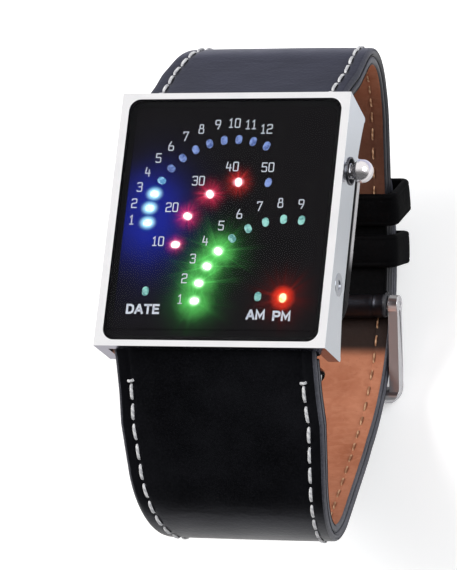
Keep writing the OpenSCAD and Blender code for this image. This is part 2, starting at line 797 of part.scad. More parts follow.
module spring_bar(at) {
    color("silver") difference() {
        union() {
            bar_rod(at, bar_d, -bar_half, bar_half);
            bar_rod(at, tip_d, -slot_w / 2 - tip_out, -bar_half);
        }
        bar_rod(at, bar_bore_d, collar_x - bar_spring_l - 0.3, bar_half - 0.5);
        bar_rod(at, tip_rod_d + 2 * fit, 0, bar_half + past);
    }
}

module bar_tip(at) {
    color("white") {
        bar_rod(at, tip_rod_d, collar_x, slot_w / 2 + tip_out);
        bar_rod(at, tip_collar_d, collar_x - 0.3, bar_half - 0.5 - 0.05);
    }
}

module bar_spring(at) {
    color("gray") coil(at[0], at[1], 0.48, 0.2, 8, collar_x - 0.3 - bar_spring_l, collar_x - 0.3);
}

module spring_bar_12() { spring_bar(bar_12); }
module bar_tip_12() { bar_tip(bar_12); }
module bar_spring_12() { bar_spring(bar_12); }
module spring_bar_6() { spring_bar(bar_6); }
module bar_tip_6() { bar_tip(bar_6); }
module bar_spring_6() { bar_spring(bar_6); }

// Strap

// Outline of both strap pieces seen from the twelve o'clock side: it narrows with depth
module taper() {
    low = case_t - lower_d - lower_r - 12;
    start = bar_z + loop_r;
    end = case_t - taper_d;
    rotate([90, 0, 0]) linear_extrude(4 * case_l, center = true) polygon([
        [-strap_w / 2, case_t], [-strap_w / 2, start], [-strap_end_w / 2, end], [-strap_end_w / 2, low],
        [strap_end_w / 2, low], [strap_end_w / 2, end], [strap_w / 2, start], [strap_w / 2, case_t]
    ]);
}

module band_12(t0, t1) {
    across(2 * case_w) polygon(concat(line_12(t0), reversed(line_12(t1))));
}

module band_6(t0, t1) {
    across(2 * case_w) polygon(concat(line_6(t0), reversed(line_6(t1))));
}

// Cylinder that fills the loop of leather round a bar
module loop_rod(at, r) {
    translate([0, at[0], at[1]]) rotate([0, 90, 0]) cylinder(r = r, h = 2 * case_w, center = true);
}

module bar_bore(at) { loop_rod(at, bar_d / 2 + 0.1); }

// Room for the tongue through the end of the twelve o'clock strap
module tongue_slot() {
    stand_at(buckle_at, buckle_bar_a)
        translate([-tongue_w / 2 - 0.3, -4.5, -4]) cube([tongue_w + 0.6, 8.5, 12]);
}

module strap_12_outer() {
    color([0.13, 0.13, 0.15]) difference() {
        intersection() {
            union() {
                band_12(0, leather_t);
                loop_rod(bar_12, loop_r);
                loop_rod(buckle_at, buckle_loop_r);
            }
            taper();
        }
        bar_bore(bar_12);
        bar_bore(buckle_at);
        tongue_slot();
    }
}

module strap_12_lining() {
    color("saddlebrown") difference() {
        intersection() {
            band_12(leather_t, strap_t);
            taper();
        }
        loop_rod(bar_12, loop_r);
        loop_rod(buckle_at, buckle_loop_r);
        tongue_slot();
    }
}

// The turned-back leather lies inside the lining, from the buckle to past both keepers
turn_back_a = buckle_bar_a + turn_back_l / (lower_r - strap_t) * 180 / PI;
module strap_12_turn_back() {
    on_bend = back_12_a - buckle_bar_a;
    on_line = turn_back_l - on_bend * PI / 180 * (lower_r - strap_t);
    stretch = norm(tail_point(0, 0) - on_circle(lower_12, lower_r, back_12_a));
    function edge(t) = concat(
        [tail_point(stretch - on_line, t)],
        arc_line(lower_12, lower_r - t, back_12_a, buckle_bar_a, arc_steps / 2)
    );
    color([0.1, 0.1, 0.12]) difference() {
        intersection() {
            across(2 * case_w) polygon(concat(edge(strap_t), reversed(edge(strap_t + turn_back_t))));
            taper();
        }
        loop_rod(buckle_at, buckle_loop_r);
        tongue_slot();
    }
}

// The tail ends in a round point. Its tip is tail_start from the upper end of the straight stretch.
tail_start = 0.6;
module tail_tip_cut() {
    r = strap_end_w / 2;
    stand_at(tail_point(tail_start + r, 0), back_12_a) difference() {
        translate([-2 * r, -3 * r, -2]) cube([4 * r, 3 * r, 8]);
        translate([0, 0, -3]) cylinder(r = r, h = 10);
    }
}

// Adjusting holes: the tongue is in the first one, and the others lie on both sides of it
holes_up = 1;
holes_down = 4;
module strap_holes() {
    hole_shift = tongue_t / 2 + 0.09 - sqrt(pow(hole_d / 2, 2) - pow(tongue_w / 2, 2));
    step_a = hole_pitch / lower_6[2] * 180 / PI;
    for (i = [-holes_up : holes_down]) {
        a = buckle_bar_a - step_a * i - hole_shift / lower_6[2] * 180 / PI;
        stand_at(on_circle(lower_6, lower_6[2], a), a)
            translate([0, 0, -strap_t - past]) cylinder(d = hole_d, h = strap_t + 2 * past);
    }
}

module strap_6_outer() {
    color([0.1, 0.1, 0.12]) difference() {
        intersection() {
            union() {
                band_6(0, leather_t);
                loop_rod(bar_6, loop_r);
            }
            taper();
        }
        bar_bore(bar_6);
        tail_tip_cut();
        strap_holes();
    }
}

module strap_6_lining() {
    color("peru") difference() {
        intersection() {
            band_6(leather_t, strap_t);
            taper();
        }
        loop_rod(bar_6, loop_r);
        tail_tip_cut();
        strap_holes();
    }
}

// Keepers

// A loop of leather round both strap pieces. Its +Z side faces away from the wrist, and z = 0 is
// the outer surface of the twelve o'clock piece.
module keeper(room, side_room) {
    in_w = strap_end_w + 2 * side_room;
    z_low = -stack_low - room;
    z_top = layer_step + room;
    corner = 1.2;
    mid = (z_low + z_top) / 2;
    tall = z_top - z_low;
    translate([0, keeper_w / 2, mid]) rotate([90, 0, 0]) linear_extrude(keeper_w) difference() {
        round_rect(in_w + 2 * keeper_t, tall + 2 * keeper_t, corner + keeper_t / 2);
        round_rect(in_w, tall, corner / 3);
    }
}

module fixed_keeper() {
    color([0.1, 0.1, 0.12]) stand_at(fixed_keeper_at, fixed_keeper_a) keeper(fixed_room, fixed_side_room);
}

module sliding_keeper() {
    color([0.1, 0.1, 0.12]) stand_at(tail_point(sliding_keeper_s, 0), back_12_a)
        keeper(slide_room, slide_side_room);
}

// Buckle

module buckle_bar() {
    color("silver") translate([0, buckle_at[0], buckle_at[1]]) rotate([0, 90, 0])
        cylinder(d = bar_d, h = 2 * arm_out - 0.3, center = true);
}

// The frame is flat from the bar to the front bar, and its two front corners are round
module buckle_frame() {
    reach = front_bar_at - buckle_at;
    long = norm(reach);
    boss_r = bar_d / 2 + 0.7;
    arm_h = front_bar_d - 0.3;
    corner_r = 3.5;
    front = long + front_bar_d / 2 + 0.5;
    rear = -boss_r - corner_r;
    color("gainsboro") stand_at(buckle_at, atan2(reach[0], -reach[1])) intersection() {
        difference() {
            union() {
                for (s = [-1, 1]) translate([s * (arm_in + arm_t), 0, 0]) {
                    rotate([0, 90, 0]) cylinder(r = boss_r, h = 2 * arm_t, center = true);
                    translate([-arm_t, 0, -arm_h / 2]) cube([2 * arm_t, long, arm_h]);
                }
                translate([0, long, 0]) rotate([0, 90, 0])
                    cylinder(d = front_bar_d, h = 2 * arm_out + 1, center = true);
            }
            rotate([0, 90, 0]) cylinder(d = bar_d + 2 * fit, h = 4 * arm_out, center = true);
        }
        translate([0, (front + rear) / 2, -front_bar_d]) linear_extrude(2 * front_bar_d)
            round_rect(2 * arm_out, front - rear, corner_r);
    }
}

// The tongue rises through the strap, bends over the tail and rests on the front bar
module buckle_tongue() {
    ring_r = bar_d / 2 + fit + 0.65;
    rise_r = lower_r + layer_step + 0.35 + tongue_t;
    rest_r = front_bar_r + front_bar_d / 2 + loose + tongue_t;
    tip_a = front_bar_a - 2.5;
    slope = (rest_r - rise_r) / (front_bar_a - buckle_bar_a);
    steps = 10;
    function over(i, t) = let (turn = (tip_a - buckle_bar_a) * i / steps)
        on_circle(lower_12, rise_r + slope * turn - t, buckle_bar_a + turn);
    tip = arc_line(over(steps, tongue_t / 2), tongue_t / 2, tip_a - 15, tip_a - 165, 6);
    color("white") difference() {
        union() {
            bar_rod(buckle_at, 2 * ring_r, -tongue_w / 2, tongue_w / 2);
            across(tongue_w) polygon(concat(
                [for (i = [0 : steps - 1]) over(i, 0)],
                tip,
                [for (i = [steps - 1 : -1 : 0]) over(i, tongue_t)]
            ));
            across(tongue_w) stem_2d(rise_r - 0.05 - buckle_bar_r);
        }
        bar_rod(buckle_at, bar_d + 2 * fit, -tongue_w, tongue_w);
    }
}

module stem_2d(length) {
    translate(buckle_at) rotate(buckle_bar_a) translate([0, -tongue_t / 2]) square([length, tongue_t]);
}

case_body();
crystal();
crystal_gasket();
dial_plate();
hour_lenses();
tens_lenses();
minute_lenses();
status_lenses();
hour_leds();
tens_leds();
minute_leds();
status_leds();
light_guide();
circuit_board();
driver_chip();
quartz_can();
capacitors();
module_frame();
battery();
battery_clip();
battery_contact();
insulator();
back_gasket();
case_back();
case_back_screws();
pusher_tube();
ball_pusher();
pusher_seal();
pusher_spring();
pusher_clip();
pusher_switch();
set_tube();
set_button();
set_spring();
set_retainer();
set_switch();
spring_bar_12();
bar_tip_12();
bar_spring_12();
spring_bar_6();
bar_tip_6();
bar_spring_6();
strap_12_outer();
strap_12_lining();
strap_12_turn_back();
strap_6_outer();
strap_6_lining();
fixed_keeper();
sliding_keeper();
buckle_bar();
buckle_frame();
buckle_tongue();
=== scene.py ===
"""Looks of the square light-emitting wristwatch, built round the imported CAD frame, in metres.

The dial faces +Z, twelve o'clock is towards +Y and the pushers are towards +X. The strap is a closed
loop below the case. Lengths in this file are written in millimetres and turned into metres by MM.
"""

import bisect
import math
from functools import reduce
from math import cos, radians, sin

import bmesh
import bpy
from mathutils import Matrix, Vector, noise


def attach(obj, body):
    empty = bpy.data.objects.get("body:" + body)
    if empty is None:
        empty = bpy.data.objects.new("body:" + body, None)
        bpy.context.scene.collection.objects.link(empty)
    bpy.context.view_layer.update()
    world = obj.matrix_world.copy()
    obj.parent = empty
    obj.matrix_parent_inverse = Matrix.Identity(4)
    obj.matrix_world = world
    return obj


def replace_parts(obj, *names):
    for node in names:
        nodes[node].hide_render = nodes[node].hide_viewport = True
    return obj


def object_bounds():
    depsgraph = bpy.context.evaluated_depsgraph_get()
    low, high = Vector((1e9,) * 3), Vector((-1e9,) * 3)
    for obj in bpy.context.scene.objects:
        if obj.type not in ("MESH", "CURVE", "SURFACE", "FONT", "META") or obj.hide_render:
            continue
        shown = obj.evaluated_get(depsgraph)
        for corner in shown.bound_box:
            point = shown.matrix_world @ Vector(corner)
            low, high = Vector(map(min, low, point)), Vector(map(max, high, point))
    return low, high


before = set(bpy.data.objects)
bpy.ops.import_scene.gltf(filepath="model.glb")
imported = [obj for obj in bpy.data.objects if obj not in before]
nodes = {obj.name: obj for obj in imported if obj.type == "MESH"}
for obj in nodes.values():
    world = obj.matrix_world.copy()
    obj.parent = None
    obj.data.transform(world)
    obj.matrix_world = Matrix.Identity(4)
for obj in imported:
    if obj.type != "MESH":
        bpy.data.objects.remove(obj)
cad_lo, cad_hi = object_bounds()
scene = bpy.context.scene
MM = 0.001

# Named sizes of the part, the same as in the CAD source
CASE_T = 10.8
DIAL_TOP = 9.7
LEATHER_T = 1.5
LINING_T = 1.3
STRAP_T = LEATHER_T + LINING_T
TURN_BACK_T = 1.2
LAYER_STEP = STRAP_T + 0.15
LOOP_R = 2.3
BORE_R = 1.0
STRAP_HALF = 17.0
STRAP_END_HALF = 12.0
TAPER_TOP_Z = 8.8
TAPER_LOW_Z = CASE_T - 52
BAR_12 = (19.2, 6.5, LOOP_R)
BAR_6 = (-19.2, 6.5, LOOP_R)
BEND_12 = (20.0, CASE_T - 26.0, 17.3)
BEND_6 = (-28.5, CASE_T - 27.3, 15.7)
LOWER = (-2.0, CASE_T - 18.8)
LOWER_R = 36.2
BUCKLE_A = -82.0
STITCH_IN = 2.3
HOLE_R = 1.6
HOLE_PITCH = 7.0
TAIL_START = 0.6
KEEPER_W = 5.5
FIXED_KEEPER_A = BUCKLE_A + 15.5
SLIDING_KEEPER_S = 13.5
KEEPER_T = 1.3
HOUR_R = 13.1

# Sizes that only this file has: how the strap gives way to the lugs, and how its layers stand back
LUG_LOW_Z, LUG_FADE = 4.0, 3.0
PINCH, SWELL = 0.30, 0.55
SWELL_END_Z, SWELL_FADE = -24.0, 20.0
LAYER_GAP = 0.02
LINING_IN = 0.12
LINING_SHORT = 2.4
TURN_BACK_L = 18.5
TURN_BACK_IN = 0.1
LEAST_HALF = 0.25
WRAP_A, WRAP_STEP = 250.0, 0.35


# ------ strap lines

def unit(v):
    return min(max(v, 0.0), 1.0)


def polar(centre, r, a):
    """The point at radius r and angle a in degrees round a centre."""
    return (centre[0] + r * cos(radians(a)), centre[1] + r * sin(radians(a)))


def join_angle(a, b):
    """Angle of the outward normal on the straight stretch from circle a to circle b, clockwise."""
    dy, dz = b[0] - a[0], b[1] - a[1]
    return math.degrees(math.atan2(dz, dy) + math.acos((a[2] - b[2]) / math.hypot(dy, dz)))


def clockwise(start, a):
    """The angle a as it is met first when turning clockwise from start."""
    return start - ((start - a) % 360 + 360) % 360


# Circles (y, z, radius) that the outer faces go round, and the angles at which they leave them
LOWER_12 = (*LOWER, LOWER_R)
LOWER_6 = (*LOWER, LOWER_R + LAYER_STEP)
FRONT_12_A = join_angle(BAR_12, BEND_12)
BACK_12_A = clockwise(FRONT_12_A, join_angle(BEND_12, LOWER_12))
BACK_6_A = clockwise(BACK_12_A, join_angle(LOWER_6, BEND_6))
FRONT_6_A = clockwise(BACK_6_A, join_angle(BEND_6, BAR_6))
BUCKLE_AT = polar(LOWER, LOWER_R - LOOP_R, BUCKLE_A)


def tail_point(s, t):
    """A point of the straight stretch behind the tail: s along it from the bend, t deep."""
    a = radians(BACK_12_A)
    y, z = polar(BEND_12, BEND_12[2] - t, BACK_12_A)
    return (y + sin(a) * s, z - cos(a) * s)


class Line:
    """The outer surface of a strap piece in the YZ plane: stations of (y, z, normal angle, s)."""

    def __init__(self):
        self.stations = []

    def put(self, y, z, a):
        s = 0.0
        if self.stations:
            py, pz, _, s = self.stations[-1]
            step = math.hypot(y - py, z - pz)
            if step < 1e-6:
                return
            s += step
        self.stations.append((y, z, a, s))

    def arc(self, circle, a0, a1, step=0.7):
        n = max(2, int(abs(radians(a1 - a0)) * circle[2] / step))
        for i in range(n + 1):
            a = a0 + (a1 - a0) * i / n
            self.put(*polar(circle, circle[2], a), a)

    def to(self, circle, a, step=0.9):
        """Straight on to the point of a circle at angle a."""
        y, z = polar(circle, circle[2], a)
        py, pz, pa, _ = self.stations[-1]
        n = max(1, int(math.hypot(y - py, z - pz) / step))
        for i in range(1, n + 1):
            f = i / n
            self.put(py + (y - py) * f, pz + (z - pz) * f, pa + (a - pa) * f)

    @property
    def length(self):
        return self.stations[-1][3]

    def at(self, s):
        """(y, z, normal angle) a distance s along the line."""
        s = min(max(s, 0.0), self.length)
        last = len(self.stations) - 1
        i = bisect.bisect_right(self.stations, s, 1, last, key=lambda q: q[3])
        a, b = self.stations[i - 1], self.stations[i]
        f = (s - a[3]) / (b[3] - a[3])
        return tuple(a[k] + (b[k] - a[k]) * f for k in range(3))

    def s_at(self, y, z):
        return min(self.stations, key=lambda q: (q[0] - y) ** 2 + (q[1] - z) ** 2)[3]


def strap_half(z):
    """Half the width of the strap at a height: a little narrower between the lugs, fuller below them."""
    taper = unit((TAPER_TOP_Z - z) / (TAPER_TOP_Z - TAPER_LOW_Z))
    between_lugs = unit((z - LUG_LOW_Z) / LUG_FADE) * PINCH
    below_lugs = unit((LUG_LOW_Z - z) / LUG_FADE) * unit((z - SWELL_END_Z) / SWELL_FADE) * SWELL
    return STRAP_HALF + (STRAP_END_HALF - STRAP_HALF) * taper - between_lugs + below_lugs


line_12 = Line()
line_12.arc(BAR_12, FRONT_12_A + WRAP_A, FRONT_12_A, WRAP_STEP)
line_12.to(BEND_12, FRONT_12_A)
line_12.arc(BEND_12, FRONT_12_A, BACK_12_A)
line_12.to(LOWER_12, BACK_12_A)
line_12.arc(LOWER_12, BACK_12_A, BUCKLE_A)
END_12_S = line_12.length
line_12.arc((*BUCKLE_AT, LOOP_R), BUCKLE_A, BUCKLE_A - WRAP_A, WRAP_STEP)
FRONT_12_S = line_12.s_at(*polar(BAR_12, LOOP_R, FRONT_12_A))

line_6 = Line()
line_6.put(*tail_point(TAIL_START, -LAYER_STEP), BACK_12_A)
line_6.to(LOWER_6, BACK_12_A, 0.5)
line_6.arc(LOWER_6, BACK_12_A, BACK_6_A)
line_6.to(BEND_6, BACK_6_A)
line_6.arc(BEND_6, BACK_6_A, FRONT_6_A)
line_6.to(BAR_6, FRONT_6_A)
FRONT_6_S = line_6.length
line_6.arc(BAR_6, FRONT_6_A, FRONT_6_A - WRAP_A, WRAP_STEP)

# The end turned back at the buckle's bar ends where TURN_BACK_L of it has been laid
turn_start = TURN_BACK_L - radians(BACK_12_A - BUCKLE_A) * (LOWER_R - STRAP_T)
stretch = math.dist(tail_point(0, 0), polar(LOWER, LOWER_R, BACK_12_A))
line_back = Line()
line_back.put(*tail_point(stretch - turn_start, 0), BACK_12_A)
line_back.to(LOWER_12, BACK_12_A)
line_back.arc(LOWER_12, BACK_12_A, BUCKLE_A + 1.0)


def width_12(s):
    return strap_half(line_12.at(s)[1])


def width_6(s):
    """Half the width of the six o'clock half, with its rounded tail."""
    w = strap_half(line_6.at(s)[1])
    r = STRAP_END_HALF
    if s < r:
        w = min(w, math.sqrt(max(r * r - (r - s) ** 2, 0.01)))
    return w


# ------ materials

class Graph:
    """A small helper round a node tree."""

    def __init__(self, tree):
        self.tree = tree

    def node(self, kind, inputs=(), **settings):
        n = self.tree.nodes.new(kind)
        for k, v in settings.items():
            setattr(n, k, v)
        for k, v in dict(inputs).items():
            self.feed(n.inputs[k], v)
        return n

    def feed(self, socket, value):
        """Links a socket to another, or sets its value. None leaves it as it is."""
        if isinstance(value, bpy.types.NodeSocket):
            self.tree.links.new(value, socket)
        elif value is not None:
            socket.default_value = value

    def math(self, op, a, b=None):
        return self.node("ShaderNodeMath", {0: a, 1: b}, operation=op).outputs[0]

    def times(self, a, b):
        return self.math("MULTIPLY", a, b)

    def span(self, value, a0, a1, b0=0.0, b1=1.0, smooth=True):
        n = self.node("ShaderNodeMapRange", {
            "Value": value, "From Min": a0, "From Max": a1, "To Min": b0, "To Max": b1},
            interpolation_type="SMOOTHSTEP" if smooth else "LINEAR")
        return n.outputs["Result"]

    def axis(self, vector, which):
        return self.node("ShaderNodeSeparateXYZ", {"Vector": vector}).outputs[which]


class Shader(Graph):
    """The nodes of one material."""

    def __init__(self, name):
        self.material = bpy.data.materials.new(name)
        self.material.use_nodes = True
        super().__init__(self.material.node_tree)
        self.out = self.tree.nodes["Material Output"]
        self.bsdf = self.tree.nodes["Principled BSDF"]
        self.object = self.node("ShaderNodeTexCoord").outputs["Object"]

    def set(self, **values):
        for k, v in values.items():
            self.feed(self.bsdf.inputs[k.replace("_", " ")], v)

    def vmath(self, op, a, b=None, out=0):
        return self.node("ShaderNodeVectorMath", {0: a, 1: b}, operation=op).outputs[out]

    def mix(self, factor, a, b):
        a, b = (v if isinstance(v, bpy.types.NodeSocket) else (*v, 1.0) for v in (a, b))
        n = self.node("ShaderNodeMix", {"Factor": factor, "A": a, "B": b}, data_type="RGBA")
        return n.outputs["Result"]

    def noise(self, scale, detail=3.0, rough=0.55, stretch=None, distortion=0.0, rotate=None):
        return self.node("ShaderNodeTexNoise", {
            "Vector": self.stretched(stretch, rotate) if stretch else self.object, "Scale": scale,
            "Detail": detail, "Roughness": rough, "Distortion": distortion}).outputs["Fac"]

    def cells(self, scale):
        return self.node("ShaderNodeTexVoronoi", {"Vector": self.object, "Scale": scale}).outputs["Distance"]

    def stretched(self, scale, rotate=None):
        return self.node("ShaderNodeMapping", {
            "Vector": self.object, "Scale": scale, "Rotation": rotate}).outputs["Vector"]

    def bump(self, height, strength, distance, normal=None):
        return self.node("ShaderNodeBump", {
            "Height": height, "Strength": strength, "Distance": distance, "Normal": normal}).outputs["Normal"]


def leather(name, dark, light, rough, grain, specular, gloss=(1.0, 1.0, 1.0)):
    """Finished leather: fine pebble grain, soft creases, colour drift and worn, paler high spots."""
    m = Shader(name)
    drift = m.noise(90, 4, 0.6)
    fine = m.noise(2600, 3, 0.6)
    cell = m.cells(1900)
    crease = m.noise(420, 2, 0.5, (0.35, 1.0, 1.0), 0.6)
    colour = m.mix(m.span(drift, 0.3, 0.7), dark, light)
    colour = m.mix(m.times(m.span(fine, 0.35, 0.75), 0.35), colour, [min(1.0, c * 2.2) for c in light])
    m.set(Base_Color=colour, Specular_IOR_Level=specular, Specular_Tint=(*gloss, 1.0))
    m.set(Roughness=m.math("ADD", m.span(drift, 0.2, 0.8, rough - 0.05, rough + 0.07), m.times(fine, 0.06)))
    n1 = m.bump(cell, 0.22 * grain, 0.00012)
    n2 = m.bump(crease, 0.30 * grain, 0.0003, n1)
    m.set(Normal=m.bump(fine, 0.18 * grain, 0.00006, n2))
    return m.material


def edge_paint(name, shade):
    dark, light = ([c * shade for c in tint] for tint in ((0.9, 0.92, 1.2), (1.9, 1.95, 2.4)))
    return leather(name, dark, light, 0.38, 0.7, 0.5)


def tan_leather(name, share):
    """Undyed lining: warm tan with darker blotches, pores and fine fibre streaks across the strap. share
    scales its colours. A painted shadow makes it black along the bottom behind the buckle, and painted
    shade makes it darker low on the twelve o'clock half."""
    m = Shader(name)
    pale, mid, deep = ([c * share for c in shade] for shade in (
        (0.570, 0.268, 0.165), (0.450, 0.180, 0.102), (0.320, 0.110, 0.056)))
    blotch = m.noise(70, 4, 0.62, distortion=0.4)
    fibre = m.noise(900, 4, 0.65, (0.45, 1.0, 1.0), 0.8)
    pores = m.cells(1300)
    base = m.mix(m.span(blotch, 0.28, 0.72), deep, mid)
    base = m.mix(m.times(m.span(fibre, 0.38, 0.75), 0.30), base, pale)
    base = m.mix(m.span(pores, 0.0, 0.16, 0.45, 0.0), base, (0.115, 0.038, 0.020))
    y, z = m.axis(m.object, "Y"), m.axis(m.object, "Z")
    # painted shadow: near black on the lining behind the buckle's bar, where the strap's loop shades it
    painted_buckle_shadow = m.times(m.span(y, -0.0062, -0.0036), m.span(z, -0.030, -0.038))
    painted_buckle_shadow = m.times(painted_buckle_shadow, m.span(y, 0.0200, 0.0120))
    base = m.mix(m.times(painted_buckle_shadow, 0.97), base, (0.006, 0.005, 0.005))
    # painted shade: the lining is darker low on the twelve o'clock half
    painted_low_shade_12 = m.times(m.span(y, 0.014, 0.020), m.span(z, -0.014, -0.030))
    base = m.mix(m.times(painted_low_shade_12, 0.84), base, (0.035, 0.014, 0.010))
    m.set(Base_Color=base, Specular_IOR_Level=0.15, Roughness=m.span(blotch, 0.2, 0.8, 0.62, 0.78))
    m.set(Normal=m.bump(fibre, 0.4, 0.00016, m.bump(pores, 0.35, 0.00012)))
    return m.material


def thread(name, colour, shade):
    """Waxed twisted thread."""
    m = Shader(name)
    twist = m.node("ShaderNodeTexWave", {
        "Vector": m.stretched((1.0, 1.0, 0.55)), "Scale": 520.0, "Distortion": 4.0, "Detail": 2.0},
        wave_type="BANDS", bands_direction="DIAGONAL").outputs["Fac"]
    dirt = m.noise(500, 3, 0.6)
    base = m.mix(m.span(twist, 0.1, 0.9), shade, colour)
    m.set(Base_Color=m.mix(m.span(dirt, 0.5, 0.8, 0.0, 0.35), base, shade), Specular_IOR_Level=0.25)
    m.set(Roughness=m.span(dirt, 0.2, 0.8, 0.6, 0.8), Normal=m.bump(twist, 0.25, 0.00006))
    return m.material


def steel(name, bright, side, rough, brush=0.4, case=False, metallic=1.0):
    """Polished steel: mirror-like on upward faces, finely brushed on the sides, with small scratches.
    On the case the end face towards six o'clock is painted greyer and bluish, a painted reflection, and the
    seat under the glass is blackened."""
    m = Shader(name)
    normal = m.node("ShaderNodeNewGeometry").outputs["Normal"]
    up = m.axis(normal, "Z")
    upward_faces = m.span(up, 0.85, 0.97)
    smear = m.noise(160, 3, 0.6)
    lines = m.noise(5200, 2, 0.5, (1.0, 0.05, 1.0))
    scratch = m.noise(900, 4, 0.7, (0.1, 1.0, 1.0), rotate=(0, 0, 0.5))
    # Upward faces take the colour bright and the sides the colour side; where these differ, the difference is
    # painted light and shade
    colour = m.mix(upward_faces, side, bright)
    colour = m.mix(m.span(smear, 0.35, 0.75, 0.0, 0.16), colour, [c * 0.86 for c in side])
    if case:
        # painted reflection: the case's end face towards six o'clock is made greyer and bluish
        colour = m.mix(m.span(m.axis(normal, "Y"), -0.75, -0.92), colour, (0.36, 0.35, 0.43))
        seat = m.times(m.span(m.axis(m.object, "Z"), 0.00980, 0.00965), m.span(up, 0.7, 0.9))
        colour = m.mix(seat, colour, (0.004, 0.004, 0.004))
    m.set(Base_Color=colour, Metallic=metallic)
    r = m.span(smear, 0.2, 0.8, rough * 0.8, rough * 1.3)
    r = m.math("ADD", r, m.times(m.span(scratch, 0.62, 0.8), 0.08))
    m.set(Roughness=m.math("ADD", r, m.times(m.span(upward_faces, 0.0, 1.0, 1.0, 0.0), 0.10)))
    h = m.times(lines, m.span(upward_faces, 0.0, 1.0, 1.0, 0.12))
    m.set(Normal=m.bump(smear, 0.03, 0.0002, m.bump(h, 0.10 * brush, 0.00003)))
    return m.material


def back_steel():
    """The case back: bare steel underneath. Its sides are painted near black, a painted dark reflection of
    the strap, and its lower rim is a painted highlight that fades out towards six o'clock."""
    m = Shader("case_back_steel")
    down = m.axis(m.node("ShaderNodeNewGeometry").outputs["Normal"], "Z")
    grain = m.noise(700, 3, 0.6, (1.0, 0.2, 1.0))
    rim = m.span(m.axis(m.object, "Z"), 0.0026, 0.0021)
    # painted highlight along the lower rim, fading out towards six o'clock
    rim_highlight = m.times(rim, m.span(m.axis(m.object, "Y"), -0.0060, -0.0010))
    bare_and_highlight = m.math("MAXIMUM", rim_highlight, m.span(down, -0.90, -0.98))
    # painted dark reflection: the sides are near black where the strap is mirrored
    dark_reflection_paint = m.mix(grain, (0.003, 0.003, 0.004), (0.007, 0.007, 0.008))
    metal = m.mix(grain, (0.60, 0.59, 0.61), (0.74, 0.73, 0.74))
    m.set(Base_Color=m.mix(bare_and_highlight, dark_reflection_paint, metal), Metallic=bare_and_highlight, Specular_IOR_Level=0.1,
          Roughness=m.span(bare_and_highlight, 0.0, 1.0, 0.6, 0.25), Normal=m.bump(grain, 0.15, 0.00003))
    return m.material


def plain(name, dark, light, rough, metallic=0.0, specular=0.5):
    """A moulded or machined inner piece, with drift in colour and gloss and a fine surface."""
    m = Shader(name)
    drift = m.noise(150, 3, 0.6)
    m.set(Base_Color=m.mix(m.span(drift, 0.3, 0.7), dark, light), Metallic=metallic,
          Roughness=m.span(drift, 0.2, 0.8, rough * 0.85, min(1.0, rough * 1.2)),
          Specular_IOR_Level=specular, Normal=m.bump(m.noise(2400, 2, 0.5), 0.2, 0.00004))
    return m.material


def board_material():
    """Green solder mask with paler copper tracks beneath it."""
    m = Shader("board_mask")
    tracks = m.node("ShaderNodeTexBrick", {
        "Vector": m.object, "Scale": 420.0, "Mortar Size": 0.035, "Color1": (0, 0, 0, 1),
        "Color2": (0, 0, 0, 1), "Mortar": (1, 1, 1, 1)}).outputs["Color"]
    base = m.mix(tracks, (0.012, 0.075, 0.030), (0.050, 0.190, 0.070))
    m.set(Base_Color=base, Roughness=m.span(m.noise(900), 0.3, 0.7, 0.25, 0.4),
          Normal=m.bump(tracks, 0.4, 0.00003))
    return m.material


def spots(centre, share, a0, a1, n):
    """Lights on an arc: x, y and the turn of the window, whose long side lies along the radius."""
    c = (centre[0] * HOUR_R, centre[1] * HOUR_R)
    angles = [a0 + (a1 - a0) * i / (n - 1) for i in range(n)]
    return [(*polar(c, HOUR_R * share, a), a - 90) for a in angles]


hours = spots((0.023, 0.0344), 1.0, 183.4, 66.1, 12)
tens = spots((0.3015, -0.3855), 0.893, 174.6, 77.2, 5)
minutes = spots((0.8015, -1.0458), 1.069, 178.0, 81.1, 9)
status = [(x * HOUR_R, y * HOUR_R, 0) for x, y in ((-0.9008, -0.8893), (0.5229, -0.9466), (0.8359, -0.9618))]
# The first lights of each arc are on, and of the status lights (date, AM, PM) the last
LIT_HOURS, LIT_TENS, LIT_MINUTES, LIT_STATUS = 3, 4, 4, 2


